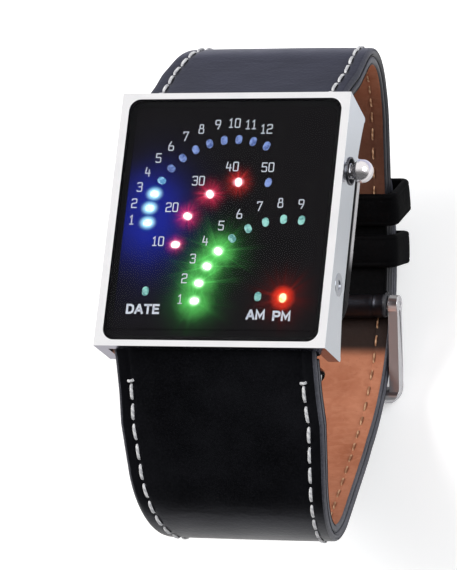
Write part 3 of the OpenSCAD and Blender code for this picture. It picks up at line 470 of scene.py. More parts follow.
def dial_material():
    """Black lacquer with the light of each light that is on painted round it as emission: a hot core, a halo,
    and rays.
    """
    m = Shader("dial_lacquer")
    fine = m.noise(3000, 2, 0.5)
    m.set(Base_Color=m.mix(fine, (0.0030, 0.0026, 0.0032), (0.0060, 0.0052, 0.0062)),
          Roughness=m.span(fine, 0.2, 0.8, 0.45, 0.60), Specular_IOR_Level=0.03,
          Normal=m.bump(fine, 0.06, 0.00003))
    flat = m.vmath("MULTIPLY", m.object, (1.0, 1.0, 0.0))
    glows = []

    def glow(colour, amount):
        part = m.vmath("SCALE", colour)
        m.feed(part.node.inputs["Scale"], amount)
        glows.append(part)

    def offset(p, sx=1.0, sy=1.0):
        d = m.vmath("SUBTRACT", flat, (p[0] * MM, p[1] * MM, 0.0))
        return m.vmath("MULTIPLY", d, (sx, sy, 1.0)) if (sx, sy) != (1.0, 1.0) else d

    def bell(d, r):
        """exp(-(d / r) squared)"""
        q = m.vmath("DOT_PRODUCT", d, d, out=1)
        return m.math("EXPONENT", m.times(q, -1.0 / (r * MM) ** 2))

    def disc(d, r, power=4.0):
        """exp(-(d / r) to a power), a halo with a flat middle"""
        q = m.math("DIVIDE", m.vmath("LENGTH", d, out=1), r * MM)
        return m.math("EXPONENT", m.times(m.math("POWER", q, power), -1.0))

    def discs(points, r, power=4.0, sx=1.0):
        return reduce(lambda a, b: m.math("MAXIMUM", a, b), [disc(offset(p, sx), r, power) for p in points])

    def rays(d, turns, seed, low, high):
        a = m.math("ARCTAN2", m.axis(d, "Y"), m.axis(d, "X"))
        n = m.node("ShaderNodeTexNoise", {
            "W": m.math("ADD", m.times(a, turns), seed), "Scale": 1.0, "Detail": 2.0, "Roughness": 0.7},
            noise_dimensions="1D")
        return m.span(n.outputs["Fac"], low, high)

    ragged = m.span(m.noise(420, 4, 0.65), 0.3, 0.7, 0.62, 1.2)
    slow = m.span(m.noise(170, 3, 0.6), 0.25, 0.75, 0.75, 1.15)
    # Hours: white-cyan cores with teal between them, and a wide flat blue spill to the left edge
    lit = hours[:LIT_HOURS]
    glow((0.62, 1.0, 1.0), discs(lit, 0.92, sx=0.80))
    glow((0.005, 0.17, 0.28), discs(lit, 1.20, 5.0))
    glow((0.001, 0.010, 0.250), m.times(disc(offset((-12.6, 0.8), 0.92, 0.70), 5.2, 3.4), slow))
    glow((0.002, 0.003, 0.050), m.times(disc(offset((-12.0, -0.4), 0.78, 0.58), 6.0, 2.6), slow))
    # Tens: pink-white cores, magenta first and redder further on, with ragged edges
    halos = (((0.75, 0.035, 0.16), 1.15), ((0.85, 0.03, 0.14), 1.6), ((0.80, 0.03, 0.10), 1.75),
             ((0.75, 0.03, 0.03), 1.6))
    for i, (p, (tint, r)) in enumerate(zip(tens[:LIT_TENS], halos)):
        d = offset(p)
        glow((1.3, 0.55, 0.65), disc(offset(p, 0.8), 0.66))
        ray = rays(d, 2.6, 3.7 * i, 0.35, 0.75)
        wide = m.times(disc(d, r, 2.4), m.math("ADD", m.times(ray, 0.8), 0.45))
        glow(tint, m.times(wide, ragged))
    # Minutes: white-green cores in a broad green band, with short streaks
    lit = minutes[:LIT_MINUTES]
    glow((0.75, 1.2, 0.75), discs(lit, 0.78, sx=0.85))
    glow((0.075, 0.400, 0.075), m.times(discs(lit, 2.6, 3.2), ragged))
    glow((0.030, 0.200, 0.035), discs(lit, 1.9, 3.0))
    glow((0.006, 0.070, 0.012), m.times(discs(lit, 4.2, 2.6), ragged))
    for i, p in enumerate(lit):
        d = offset(p)
        glow((0.05, 0.30, 0.06), m.times(bell(d, 3.6), rays(d, 3.2, 11.3 * i + 2.0, 0.50, 0.85)))
    # The light over PM: an orange core in a flat red disc
    d = offset(status[LIT_STATUS])
    glow((0.9, 0.55, 0.20), disc(d, 0.72))
    glow((0.85, 0.030, 0.008), m.times(disc(d, 1.75, 5.0), ragged))
    ray = rays(d, 3.0, 5.0, 0.40, 0.8)
    glow((0.30, 0.010, 0.004), m.times(bell(d, 3.0), m.math("ADD", m.times(ray, 0.7), 0.2)))
    m.set(Emission_Color=reduce(lambda a, b: m.vmath("ADD", a, b), glows), Emission_Strength=1.0)
    return m.material


def lens_material(name, colour, shade, strength, base):
    """A moulded diffusing window with fine brighter and darker specks."""
    m = Shader(name)
    speck = m.noise(1400, 2, 0.6)
    m.set(Base_Color=m.mix(m.span(speck, 0.3, 0.7), base, [c * 1.5 for c in base]),
          Roughness=m.span(speck, 0.3, 0.7, 0.25, 0.4), Normal=m.bump(speck, 0.3, 0.0001),
          Emission_Color=m.mix(m.span(speck, 0.36, 0.62), shade, colour), Emission_Strength=strength)
    return m.material


def glass_material():
    """Flat mineral glass with an anti-reflection coat, seen over a dark dial."""
    m = Shader("mineral_glass")
    smear = m.noise(120, 3, 0.6)
    m.set(Base_Color=m.mix(smear, (0.004, 0.004, 0.006), (0.010, 0.009, 0.012)),
          Roughness=m.span(smear, 0.3, 0.7, 0.02, 0.06), Specular_IOR_Level=0.5, Alpha=0.10)
    return m.material


def print_material():
    """White dial print, with an even painted glow that stands for the light of the lights beside it."""
    m = Shader("dial_print")
    grain = m.noise(4000, 2, 0.6)
    m.set(Base_Color=m.mix(m.span(grain, 0.3, 0.75), (0.42, 0.45, 0.52), (0.66, 0.69, 0.76)),
          Roughness=m.span(grain, 0.3, 0.7, 0.4, 0.6), Normal=m.bump(grain, 0.2, 0.00002))
    # painted light: an even glow over all the print
    m.set(Emission_Color=(0.55, 0.60, 0.70, 1.0), Emission_Strength=0.16)
    return m.material


# ------ mesh helpers

def linked(name, bm):
    """An object in the scene from a bmesh."""
    mesh = bpy.data.meshes.new(name)
    bm.to_mesh(mesh)
    bm.free()
    o = bpy.data.objects.new(name, mesh)
    scene.collection.objects.link(o)
    return o


def solid(name, bm):
    """A closed object from a bmesh in millimetres."""
    bmesh.ops.scale(bm, vec=(MM, MM, MM), verts=bm.verts)
    bmesh.ops.recalc_face_normals(bm, faces=bm.faces)
    if bm.calc_volume(signed=True) < 0:
        bmesh.ops.reverse_faces(bm, faces=bm.faces)
    return linked(name, bm)


def make(name, bm, material, body, smooth=True):
    """A solid piece that rides on a body."""
    o = solid(name, bm)
    for p in o.data.polygons:
        p.use_smooth = smooth
    for mat in material if isinstance(material, list) else [material]:
        o.data.materials.append(mat)
    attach(o, body)
    return o


def sharp_edges(o, degrees):
    o.data.set_sharp_from_angle(angle=radians(degrees))


def skin(bm, rings, capped=True):
    """Faces between rings of vertices. The end rings are capped, or else joined to each other."""
    for a, b in zip(rings, rings[1:] if capped else rings[1:] + rings[:1]):
        for i in range(len(a)):
            j = (i + 1) % len(a)
            bm.faces.new((a[i], a[j], b[j], b[i]))
    if capped:
        bm.faces.new(rings[0])
        bm.faces.new(rings[-1])


# Columns of a strap's face: distances from its edge, close together at the stitches, and then shares of
# what is left between them
EDGE_COLUMNS = (1.2, 1.7, 2.0, 2.15, 2.3, 2.45, 2.6, 3.0, 3.8, 5.2)
MID_COLUMNS = (-0.72, -0.45, -0.2, 0.0, 0.2, 0.45, 0.72)
FULL_HALF = 6.5
DIP_HALF = 0.33
WOBBLE = 0.035
WOBBLE_S = (0.13, 0.11)
STRAP_SHARP = 50


def ribbon(name, line, s_list, half, depths, material, seed, edge=0.35, groove=0.0, crown=0.0,
           inner_groove=0.0, thinner=lambda s: 0.0):
    """A strip of leather that follows a line between two depths, with rounded edges, a slightly
    domed face, sunken stitch rows, and small unevenness. Its second material is its edge's."""
    bm = bmesh.new()
    uv = bm.loops.layers.uv.new("strip")
    marks = [edge, edge + 0.35, *EDGE_COLUMNS]
    corner = [(1 - sin(radians(a)), 1 - cos(radians(a))) for a in (22.5, 45, 67.5)]
    rings = []
    for s in s_list:
        y, z, a = line.at(s)
        ca, sa = cos(radians(a)), sin(radians(a))
        w = max(half(s), LEAST_HALF)
        k = min(1.0, w / FULL_HALF)
        top, low = depths[0], depths[1] - thinner(s)
        e = min(edge, (low - top) * 0.45) * k
        left = [-w + e + (m - edge) * k for m in marks]
        inner = w - (e + (marks[-1] - edge) * k)
        face = left + [v * inner for v in MID_COLUMNS] + [-x for x in reversed(left)]

        def dip(x, depth):
            return depth * math.exp(-((abs(x) - (w - STITCH_IN * k)) / DIP_HALF) ** 2) if k > 0.5 else 0.0

        def uneven(x, layer):
            return noise.noise(Vector((x * WOBBLE_S[0], s * WOBBLE_S[1], layer)))

        points = [(x, top + crown * k * (abs(x) / w) ** 4 + dip(x, groove) + WOBBLE * uneven(x, seed))
                  for x in face]
        points += [(w - e * q0, top + crown * k + e * q1) for q0, q1 in reversed(corner)]
        points.append((w, (top + low) / 2))
        points += [(w - e * q0, low - e * q1) for q0, q1 in corner]
        points += [(x, low - dip(x, inner_groove) + 0.5 * WOBBLE * uneven(x, seed + 7.0))
                   for x in reversed(face)]
        points += [(-w + e * q0, low - e * q1) for q0, q1 in reversed(corner)]
        points.append((-w, (top + low) / 2))
        points += [(-w + e * q0, top + crown * k + e * q1) for q0, q1 in corner]
        ring = [bm.verts.new((x, y - ca * t, z - sa * t)) for x, t in points]
        rings.append((ring, s, [x for x, _ in points]))
    n_face = len(marks) * 2 + len(MID_COLUMNS)
    n_side = len(corner) * 2 + 1
    for (ra, s_a, xa), (rb, s_b, xb) in zip(rings, rings[1:]):
        for i in range(len(ra)):
            j = (i + 1) % len(ra)
            f = bm.faces.new((ra[i], ra[j], rb[j], rb[i]))
            side = n_face - 1 <= i < n_face + n_side or i >= 2 * n_face + n_side - 1
            f.material_index = int(side and len(material) > 1)
            for loop, (x, s) in zip(f.loops, ((xa[i], s_a), (xa[j], s_a), (xb[j], s_b), (xb[i], s_b))):
                loop[uv].uv = (x * MM, s * MM)
    for ring, _, _ in (rings[0], rings[-1]):
        bm.faces.new(ring).material_index = len(material) - 1
    o = make(name, bm, material, "watch")
    sharp_edges(o, STRAP_SHARP)
    return o


def cut(o, cutters):
    """Cuts closed meshes out of a piece for good."""
    for c in cutters:
        mod = o.modifiers.new("cut", "BOOLEAN")
        mod.operation = "DIFFERENCE"
        mod.solver = "MANIFOLD"
        mod.object = c
    bpy.context.view_layer.update()
    dg = bpy.context.evaluated_depsgraph_get()
    mesh = bpy.data.meshes.new_from_object(o.evaluated_get(dg), preserve_all_data_layers=True, depsgraph=dg)
    o.modifiers.clear()
    old = o.data
    o.data = mesh
    bpy.data.meshes.remove(old)
    for c in cutters:
        bpy.data.objects.remove(c)
    sharp_edges(o, STRAP_SHARP)


def stand(at, a):
    """Matrix of a place on the strap: +Z outwards at angle a, +Y along the strap, in millimetres."""
    return Matrix.Translation((0, at[0], at[1])) @ Matrix.Rotation(radians(a - 90), 4, "X")


def slot_cutter():
    """The slot for the tongue, where the strap goes round the buckle's bar."""
    place = stand(BUCKLE_AT, BUCKLE_A) @ Matrix.Translation((0, -0.25, 2.0))
    bm = bmesh.new()
    bmesh.ops.create_cube(bm, size=1.0, matrix=place @ Matrix.Diagonal((2.2, 8.5, 12.0, 1)))
    return solid("slot", bm)


def hole_cutter(a):
    """An adjusting hole through the tail at angle a of the lower arc."""
    at = polar(LOWER, LOWER_6[2] - STRAP_T / 2, a)
    bm = bmesh.new()
    bmesh.ops.create_cone(bm, cap_ends=True, segments=32, radius1=HOLE_R, radius2=HOLE_R, depth=5.0,
                          matrix=stand(at, a))
    return solid("hole", bm)


def steps(s0, s1, line):
    """The line's own stations between two distances, which lie closer together where it bends tightly."""
    near = 0.15
    return [s0, *(q[3] for q in line.stations if s0 + near < q[3] < s1 - near), s1]


# A thread rises from its hole, lies on the leather and dips into the next hole
PITCH = 3.35
THREAD_SIDES = 8
THREAD_FLAT = 0.72
THREAD_DIP = 0.55
CROSS_W, CROSS_R, CROSS_SKEW = 1.05, 0.24, 0.12


def tube(bm, points, radii, normal):
    """A strand through points, closed at both ends and a little flat along the normal."""
    rings = []
    last = len(points) - 1
    turns = [2 * math.pi * k / THREAD_SIDES for k in range(THREAD_SIDES)]
    for i, (p, r) in enumerate(zip(points, radii)):
        t = (points[min(i + 1, last)] - points[max(i - 1, 0)]).normalized()
        u = (normal - t * normal.dot(t)).normalized()
        v = t.cross(u)
        rings.append([bm.verts.new(p + (u * sin(q) * THREAD_FLAT + v * cos(q)) * r) for q in turns])
    skin(bm, rings)


def surface_point(line, s, x, lift):
    y, z, a = line.at(s)
    return Vector((x, y + cos(radians(a)) * lift, z + sin(radians(a)) * lift))


def outward(line, s):
    a = radians(line.at(s)[2])
    return Vector((0, cos(a), sin(a)))


def stitch_row(bm, line, track, face, length, radius, seed, inner):
    """Stitches along a track of (s, x) points on one face of the strap. face is the depth of that face."""
    acc = [0.0]
    for (s0, x0), (s1, x1) in zip(track, track[1:]):
        acc.append(acc[-1] + math.hypot(s1 - s0, x1 - x0))

    def along(q):
        q = min(max(q, 0.0), acc[-1])
        i = min(max(k for k in range(len(acc)) if acc[k] <= q + 1e-9), len(acc) - 2)
        f = (q - acc[i]) / max(acc[i + 1] - acc[i], 1e-9)
        (s0, x0), (s1, x1) = track[i:i + 2]
        return (s0 + (s1 - s0) * f, x0 + (x1 - x0) * f)

    count = int(acc[-1] // PITCH)
    sign = -1.0 if inner else 1.0
    for k in range(count):
        start = k * PITCH + (acc[-1] - count * PITCH) / 2
        skew = 0.10 * noise.noise(Vector((k * 1.7, seed, 3.1)))
        size = 1.0 + 0.10 * noise.noise(Vector((k * 0.9, seed, 8.2)))
        pts, radii = [], []
        for f in (i / 8 for i in range(9)):
            s, x = along(start + (PITCH - length) / 2 + length * f)
            end = abs(2 * f - 1)
            rise = 0.10 - THREAD_DIP * end ** 5
            pts.append(surface_point(line, s, x + skew * (2 * f - 1), -face + sign * rise))
            radii.append(radius * size * (1.0 - 0.35 * end ** 3))
        tube(bm, pts, radii, outward(line, along(start)[0]))


def cross_stitch(bm, line, s, x):
    """The short stitch laid across the start of a row."""
    pts = [surface_point(line, s + CROSS_SKEW * (f - 0.5), x + CROSS_W * (f - 0.5),
                         0.16 - THREAD_DIP * abs(2 * f - 1) ** 5) for f in (i / 6 for i in range(7))]
    tube(bm, pts, [CROSS_R] * len(pts), outward(line, s))


# ------ strap

BLACK = leather("black_leather", (0.0016, 0.0016, 0.0020), (0.0034, 0.0035, 0.0043), 0.30, 0.5, 0.36,
                (0.78, 0.81, 1.0))
# The same leather with its loose side out, as on the keepers and the turned-back end
MATT = leather("matt_black_leather", (0.0010, 0.0010, 0.0012), (0.0024, 0.0024, 0.0028), 0.62, 0.9, 0.03)
# Both halves have the same lining leather; the twelve o'clock copy is 12 % lighter, painted light
TAN_12, TAN_6 = tan_leather("tan_leather_12", 1.12), tan_leather("tan_leather_6", 1.0)
# One edge paint in two copies: the six o'clock one is three times lighter, a painted highlight, and the twelve
# o'clock one painted shade
EDGE_12, EDGE_6 = edge_paint("edge_paint_12", 0.012), edge_paint("edge_paint_6", 0.036)

# The leather is a little thinner where it goes round the bars
THINNER = LEATHER_T - (LOOP_R - BORE_R - 0.03)
THIN_FADE = 3.0


def thinner_12(s):
    at_lugs, at_buckle = (FRONT_12_S + THIN_FADE - s) / THIN_FADE, (s - END_12_S + THIN_FADE) / THIN_FADE
    return THINNER * min(unit(at_lugs) + unit(at_buckle), 1.0)


def thinner_6(s):
    return THINNER * unit((s - FRONT_6_S + THIN_FADE) / THIN_FADE)


OUTER, LINING = (0.0, LEATHER_T), (LEATHER_T + LAYER_GAP, STRAP_T)
outer_12 = ribbon(
    "strap_12_leather", line_12, steps(0, line_12.length, line_12), width_12, OUTER,
    [BLACK, EDGE_12], 1.3, edge=0.5, groove=0.14, crown=0.12, thinner=thinner_12)
inner_12 = ribbon(
    "strap_12_lining_leather", line_12, steps(FRONT_12_S + LINING_SHORT, END_12_S - LINING_SHORT, line_12),
    lambda s: width_12(s) - LINING_IN, LINING, [TAN_12, EDGE_12], 5.1, inner_groove=0.16)
turn_12 = ribbon(
    "strap_12_turned_leather", line_back, steps(0, line_back.length, line_back),
    lambda s: strap_half(line_back.at(s)[1]) - TURN_BACK_IN, (STRAP_T + LAYER_GAP, STRAP_T + TURN_BACK_T),
    [MATT], 9.4)
outer_6 = ribbon(
    "strap_6_leather", line_6, [0.04, 0.15, 0.35] + steps(0.6, line_6.length, line_6), width_6, OUTER,
    [BLACK, EDGE_6], 2.7, edge=0.5, groove=0.14, crown=0.12, thinner=thinner_6)
inner_6 = ribbon(
    "strap_6_lining_leather", line_6, [0.10, 0.25, 0.45] + steps(0.7, FRONT_6_S - LINING_SHORT, line_6),
    lambda s: width_6(s) - LINING_IN, LINING, [TAN_6, EDGE_6], 6.6, inner_groove=0.16)

for piece in (outer_12, inner_12, turn_12):
    cut(piece, [slot_cutter()])
# The tongue stands in the hole i = 0, and 0.09 mm is left between them
TONGUE_T, TONGUE_W = 1.2, 1.6
HOLE_SHIFT = TONGUE_T / 2 + 0.09 - math.sqrt(HOLE_R ** 2 - (TONGUE_W / 2) ** 2)
hole_angles = [BUCKLE_A - math.degrees((HOLE_PITCH * i + HOLE_SHIFT) / LOWER_6[2]) for i in range(-1, 5)]
for piece in (outer_6, inner_6):
    cut(piece, [hole_cutter(a) for a in hole_angles])

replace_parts(outer_12, "strap_12_outer")
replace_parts(inner_12, "strap_12_lining")
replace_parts(turn_12, "strap_12_turn_back")
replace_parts(outer_6, "strap_6_outer")
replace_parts(inner_6, "strap_6_lining")

# Stitching
WHITE_THREAD = thread("white_thread", (0.70, 0.70, 0.71), (0.50, 0.50, 0.52))
TAN_THREAD = thread("tan_thread", (0.56, 0.34, 0.20), (0.30, 0.15, 0.08))
ROW_12_TOP = FRONT_12_S + 2.2
ROW_6_TOP = FRONT_6_S - 5.6
TIP_R = STRAP_END_HALF - STITCH_IN


def sampled(s0, s1, f):
    n = max(2, int(abs(s1 - s0) / 0.5))
    return [(s0 + (s1 - s0) * i / n, f(s0 + (s1 - s0) * i / n)) for i in range(n + 1)]


def tip_track():
    """Round the tail: down one side, round the tip and up the other side."""
    arc = [(STRAP_END_HALF - TIP_R * sin(radians(q)), -TIP_R * cos(radians(q)))
           for q in range(0, 181, 6)]
    left = sampled(ROW_6_TOP, STRAP_END_HALF + 0.4, lambda s: -(width_6(s) - STITCH_IN))
    right = sampled(STRAP_END_HALF + 0.4, ROW_6_TOP, lambda s: width_6(s) - STITCH_IN)
    return left + arc + right


# The lining's stitches are shorter and finer, and their rows start and end further in
for inner, face, name, material, slot, length, radius, late, early in (
        (False, 0.0, "stitches", WHITE_THREAD, "black_leather", 2.85, 0.27, 0.0, 3.2),
        (True, STRAP_T, "lining_stitches", TAN_THREAD, "tan_leather", 2.3, 0.16, 1.5, 4.0)):
    rows_12 = [(sampled(ROW_12_TOP + late, END_12_S - early,
                        lambda s: side * (width_12(s) - STITCH_IN)), side * 2.0) for side in (-1, 1)]
    for part, line, rows, width, top, cross_s in (
            ("strap_12", line_12, rows_12, width_12, ROW_12_TOP, ROW_12_TOP - 0.1),
            ("strap_6", line_6, [(tip_track(), 4.0)], width_6, ROW_6_TOP, ROW_6_TOP + 0.1)):
        bm = bmesh.new()
        for track, seed in rows:
            stitch_row(bm, line, track, face, length, radius, seed, inner)
        for side in () if inner else (-1, 1):
            cross_stitch(bm, line, cross_s, side * (width(top) - STITCH_IN))
        make(f"{part}_{name}", bm, material, "watch")


def keeper(name, node, at, a, room, side_room, body):
    """A loop of leather round the strap's layers, with room left above, below and at the sides. It has
    rounded edges and a pressed line along both."""
    in_w = STRAP_END_HALF + side_room
    z_low, z_top = -(STRAP_T + TURN_BACK_T) - room, LAYER_STEP + room
    r_in = 0.5
    path = []
    for cx, cz, q0 in ((in_w - r_in, z_top - r_in, 0), (-in_w + r_in, z_top - r_in, 90),
                       (-in_w + r_in, z_low + r_in, 180), (in_w - r_in, z_low + r_in, 270)):
        for q in range(0, 91, 15):
            g = radians(q0 + q)
            out = Vector((cos(g), 0, sin(g)))
            path.append((Vector((cx, 0, cz)) + r_in * out, out))
    full = []
    for (p, n), (q, m) in zip(path, path[1:] + path[:1]):
        full.append((p, n))
        gap = (q - p).length
        if gap > 1.0:
            k = int(gap / 0.9)
            full += [(p.lerp(q, j / k), n.lerp(m, j / k).normalized()) for j in range(1, k)]
    h = KEEPER_W / 2
    # The profile across: place along the strap, and depth under the outer face or height over the inner
    side = [(h, 0.62), (h - 0.10, 0.25), (h - 0.34, 0.04), (h - 0.7, 0.0), (h - 0.85, 0.08), (h - 1.0, 0.0),
            (h - 1.9, -0.02)]
    outer = [(-v, t) for v, t in side] + [(0, -0.03)] + side[::-1]
    inner = [(h - 0.06, 0.22), (h - 0.3, 0.0), (-h + 0.3, 0.0), (-h + 0.06, 0.22)]
    bm = bmesh.new()
    rings = []
    place = stand(at, a)
    for p, n in full:
        bulge = 0.05 * noise.noise(p * 0.35)
        lifts = [(v, KEEPER_T - t + (bulge if 0 < k < len(outer) - 1 else 0)) for k, (v, t) in enumerate(outer)]
        rings.append([bm.verts.new(place @ (p + n * t + Vector((0, v, 0)))) for v, t in lifts + inner])
    skin(bm, rings, capped=False)
    o = make(name, bm, MATT, body)
    sharp_edges(o, 60)
    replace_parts(o, node)


keeper("fixed_keeper_leather", "fixed_keeper", polar(LOWER, LOWER_R, FIXED_KEEPER_A), FIXED_KEEPER_A,
       room=0.3, side_room=0.75, body="watch")
keeper("sliding_keeper_leather", "sliding_keeper", tail_point(SLIDING_KEEPER_S, 0), BACK_12_A,
       room=0.35, side_room=1.3, body="keeper")


# ------ dial

LENS_HALF_W, LENS_HALF_L = 0.565, 0.765
# Rings of a window from below: share of its outline, and height over the dial
LENS_RINGS = ((1.0, -0.9), (1.0, -0.10), (0.95, -0.05), (0.82, -0.015), (0.5, -0.004))


def lens_mesh(bm, p):
    """A light window with rounded ends and a slightly domed, softened top."""
    ct, st = cos(radians(p[2])), sin(radians(p[2]))
    outline = []
    for q in range(0, 360, 15):
        g = radians(q)
        shift = (LENS_HALF_L - LENS_HALF_W) * (1 if sin(g) >= 0 else -1)
        x, y = LENS_HALF_W * cos(g), LENS_HALF_W * sin(g) + shift
        outline.append((x * ct - y * st, x * st + y * ct))
    skin(bm, [[bm.verts.new((p[0] + x * k, p[1] + y * k, DIAL_TOP + z)) for x, y in outline]
              for k, z in LENS_RINGS])


def lens_group(name, points, material):
    bm = bmesh.new()
    for p in points:
        lens_mesh(bm, p)
    return make(name, bm, material, "watch")


BLUE_ON = lens_material("blue_light_on", (0.75, 1.0, 1.0), (0.50, 0.95, 1.0), 1.5, (0.2, 0.4, 0.5))
BLUE_DIM = lens_material("blue_light_dim", (0.45, 0.85, 1.0), (0.05, 0.25, 0.45), 1.0, (0.05, 0.09, 0.22))
# The off windows glow too: painted light
BLUE_OFF = lens_material("blue_light_off", (0.22, 0.30, 0.60), (0.03, 0.055, 0.22), 0.85, (0.05, 0.09, 0.22))
RED_ON = lens_material("red_light_on", (1.0, 0.92, 0.95), (1.0, 0.70, 0.80), 1.6, (0.4, 0.1, 0.1))
GREEN_ON = lens_material("green_light_on", (0.97, 1.0, 0.97), (0.80, 1.0, 0.82), 1.6, (0.2, 0.4, 0.2))
# painted light: the off green windows glow as well
GREEN_OFF = lens_material("green_light_off", (0.30, 0.62, 0.56), (0.05, 0.20, 0.20), 0.95, (0.06, 0.16, 0.15))
ORANGE_ON = lens_material("orange_light_on", (1.0, 0.86, 0.55), (1.0, 0.60, 0.22), 1.5, (0.5, 0.2, 0.05))

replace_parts(lens_group("hour_lights_on", hours[:LIT_HOURS], BLUE_ON), "hour_lenses")
lens_group("hour_light_dim", hours[LIT_HOURS:LIT_HOURS + 1], BLUE_DIM)
lens_group("hour_lights_off", hours[LIT_HOURS + 1:], BLUE_OFF)
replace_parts(lens_group("tens_lights_on", tens[:LIT_TENS], RED_ON), "tens_lenses")
lens_group("tens_light_off", tens[LIT_TENS:], BLUE_OFF)
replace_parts(lens_group("minute_lights_on", minutes[:LIT_MINUTES], GREEN_ON), "minute_lenses")
lens_group("minute_lights_off", minutes[LIT_MINUTES:], GREEN_OFF)
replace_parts(lens_group("status_light_on", status[LIT_STATUS:], ORANGE_ON), "status_lenses")
lens_group("status_lights_off", status[:LIT_STATUS], GREEN_OFF)

# Plain numerals and capitals as strokes: points in hundredths of a cell's width and height
GLYPHS = {
    "0": "15,0 85,0 100,8 100,92 85,100 15,100 0,92 0,8 15,0",
    "1": "10,82 52,100 52,0 / 10,0 94,0",
    "2": "0,88 12,100 88,100 100,92 100,62 88,54 12,46 0,38 0,0 100,0",
    "3": "0,92 12,100 88,100 100,92 100,62 86,53 35,53 / 86,53 100,44 100,8 88,0 12,0 0,8",
    "4": "18,100 0,40 0,34 100,34 / 78,72 78,0",
    "5": "100,100 6,100 0,56 86,56 100,47 100,8 88,0 12,0 0,8",
    "6": "42,100 0,52 0,8 12,0 88,0 100,8 100,42 88,51 4,51",
    "7": "0,84 0,100 100,100 36,0",
    "8": "22,100 78,100 86,94 86,62 78,56 22,56 14,62 14,94 22,100 / "
         "22,56 2,46 0,8 12,0 88,0 100,8 98,46 78,56",
    "9": "58,0 100,48 100,92 88,100 12,100 0,92 0,58 12,49 96,49",
    "A": "0,0 46,100 54,100 100,0 / 20,30 80,30",
    "D": "0,0 0,100 60,100 92,86 100,60 100,40 92,14 60,0 0,0",
    "E": "95,100 0,100 0,0 98,0 / 0,52 85,52",
    "M": "0,0 0,100 50,22 100,100 100,0",
    "P": "0,0 0,100 72,100 96,90 100,73 96,56 72,46 0,46",
    "T": "0,100 100,100 / 50,100 50,0",
}
PRINT_LOW, PRINT_TOP = DIAL_TOP - 0.01, DIAL_TOP + 0.02
# Width, height, gap and stroke of the characters, and the shares of that width that some of them have
NUMERAL = (0.76, 1.42, 0.38, 0.17, {"1": 0.82})
CAPITAL = (0.98, 1.30, 0.44, 0.34, {"E": 0.85, "M": 1.2, "A": 1.12})
PRINT = print_material()


def stroke(bm, points, width):
    """A flat raised stroke through points with mitred corners."""
    closed = math.dist(points[0], points[-1]) < 1e-6
    pts = [Vector(p) for p in (points[:-1] if closed else points)]
    n = len(pts)
    rings = []
    for i, p in enumerate(pts):
        before = pts[i - 1] if closed or i > 0 else None
        after = pts[(i + 1) % n] if closed or i < n - 1 else None
        d0 = (p - before).normalized() if before is not None else (after - p).normalized()
        d1 = (after - p).normalized() if after is not None else d0
        n0, n1 = Vector((-d0.y, d0.x)), Vector((-d1.y, d1.x))
        mitre = (n0 + n1).normalized()
        reach = width / 2 / max(0.5, mitre.dot(n0))
        grow = Vector((0, 0))
        if before is None:
            grow = -d1 * width / 2
        elif after is None:
            grow = d0 * width / 2
        left, right = p + mitre * reach + grow, p - mitre * reach + grow
        rings.append([bm.verts.new((q.x, q.y, z)) for q, z in (
            (left, PRINT_LOW), (left, PRINT_TOP), (right, PRINT_TOP), (right, PRINT_LOW))])
    skin(bm, rings, capped=not closed)


def word(bm, text, centre, style):
    """Letters or numerals side by side, centred on a point."""
    width, height, gap, line_w, shares = style
    sizes = [width * shares.get(c, 1.0) for c in text]
    x = centre[0] - (sum(sizes) + gap * (len(text) - 1)) / 2
    for c, w in zip(text, sizes):
        for part in GLYPHS[c].split("/"):
            points = [[int(v) / 100 for v in pair.split(",")] for pair in part.split()]
            stroke(bm, [(x + px * w, centre[1] + (py - 0.5) * height) for px, py in points], line_w)
        x += w + gap


def numerals(name, labels, centre, r, a0, a1):
    bm = bmesh.new()
    for i, label in enumerate(labels):
        word(bm, label, polar(centre, r, a0 + (a1 - a0) * i / (len(labels) - 1)), NUMERAL)
    make(name, bm, PRINT, "watch", smooth=False)


# Arcs of the numerals: centre, radius, first and last angle
numerals("hour_numerals", [str(i) for i in range(1, 13)], (-0.15, 0.93), 15.35, 183, 69)
numerals("tens_numerals", [str(i * 10) for i in range(1, 6)], (2.98, -4.37), 13.64, 176, 76.2)
numerals("minute_numerals", [str(i) for i in range(1, 10)], (9.75, -12.62), 15.6, 181.2, 80.3)
bm = bmesh.new()
for label, p in (("DATE", (-11.86, -14.61)), ("AM", (6.81, -15.36)), ("PM", (11.07, -15.54))):
    word(bm, label, p, CAPITAL)
make("status_words", bm, PRINT, "watch", smooth=False)


# ------ CAD nodes

WELD = 0.000002


def dress(names, material, bevel=0.0, angle=35.0, segments=2):
    """Gives CAD nodes their material and, with a bevel in millimetres, rounds edges above an angle."""
    for o in (nodes[name] for name in names.split()):
        for slot in o.material_slots:
            slot.material = material
        if bevel:
            w = o.modifiers.new("weld", "WELD")
            w.merge_threshold = WELD
            b = o.modifiers.new("edges", "BEVEL")
            b.width = bevel * MM
            b.segments = segments
            b.limit_method = "ANGLE"
            b.angle_limit = radians(angle)
            b.use_clamp_overlap = True
            b.harden_normals = True


# The case's sides are painted darker and bluish than its top, a painted reflection
dress("case_body", steel("case_steel", (0.88, 0.87, 0.88), (0.67, 0.71, 0.755), 0.09, case=True), 0.06)
dress("case_back", back_steel(), 0.06)
dress("pusher_tube", steel("tube_steel", (0.12, 0.12, 0.13), (0.10, 0.10, 0.11), 0.22, 0.3), 0.05)
dress("ball_pusher", steel("pusher_steel", (0.86, 0.82, 0.83), (0.86, 0.82, 0.83), 0.08, 0.1, metallic=0.80))
SET_STEEL = steel("set_steel", (0.55, 0.56, 0.60), (0.47, 0.49, 0.53), 0.16, 0.3)
dress("set_tube", SET_STEEL, 0.05)
dress("set_button", SET_STEEL, 0.08)
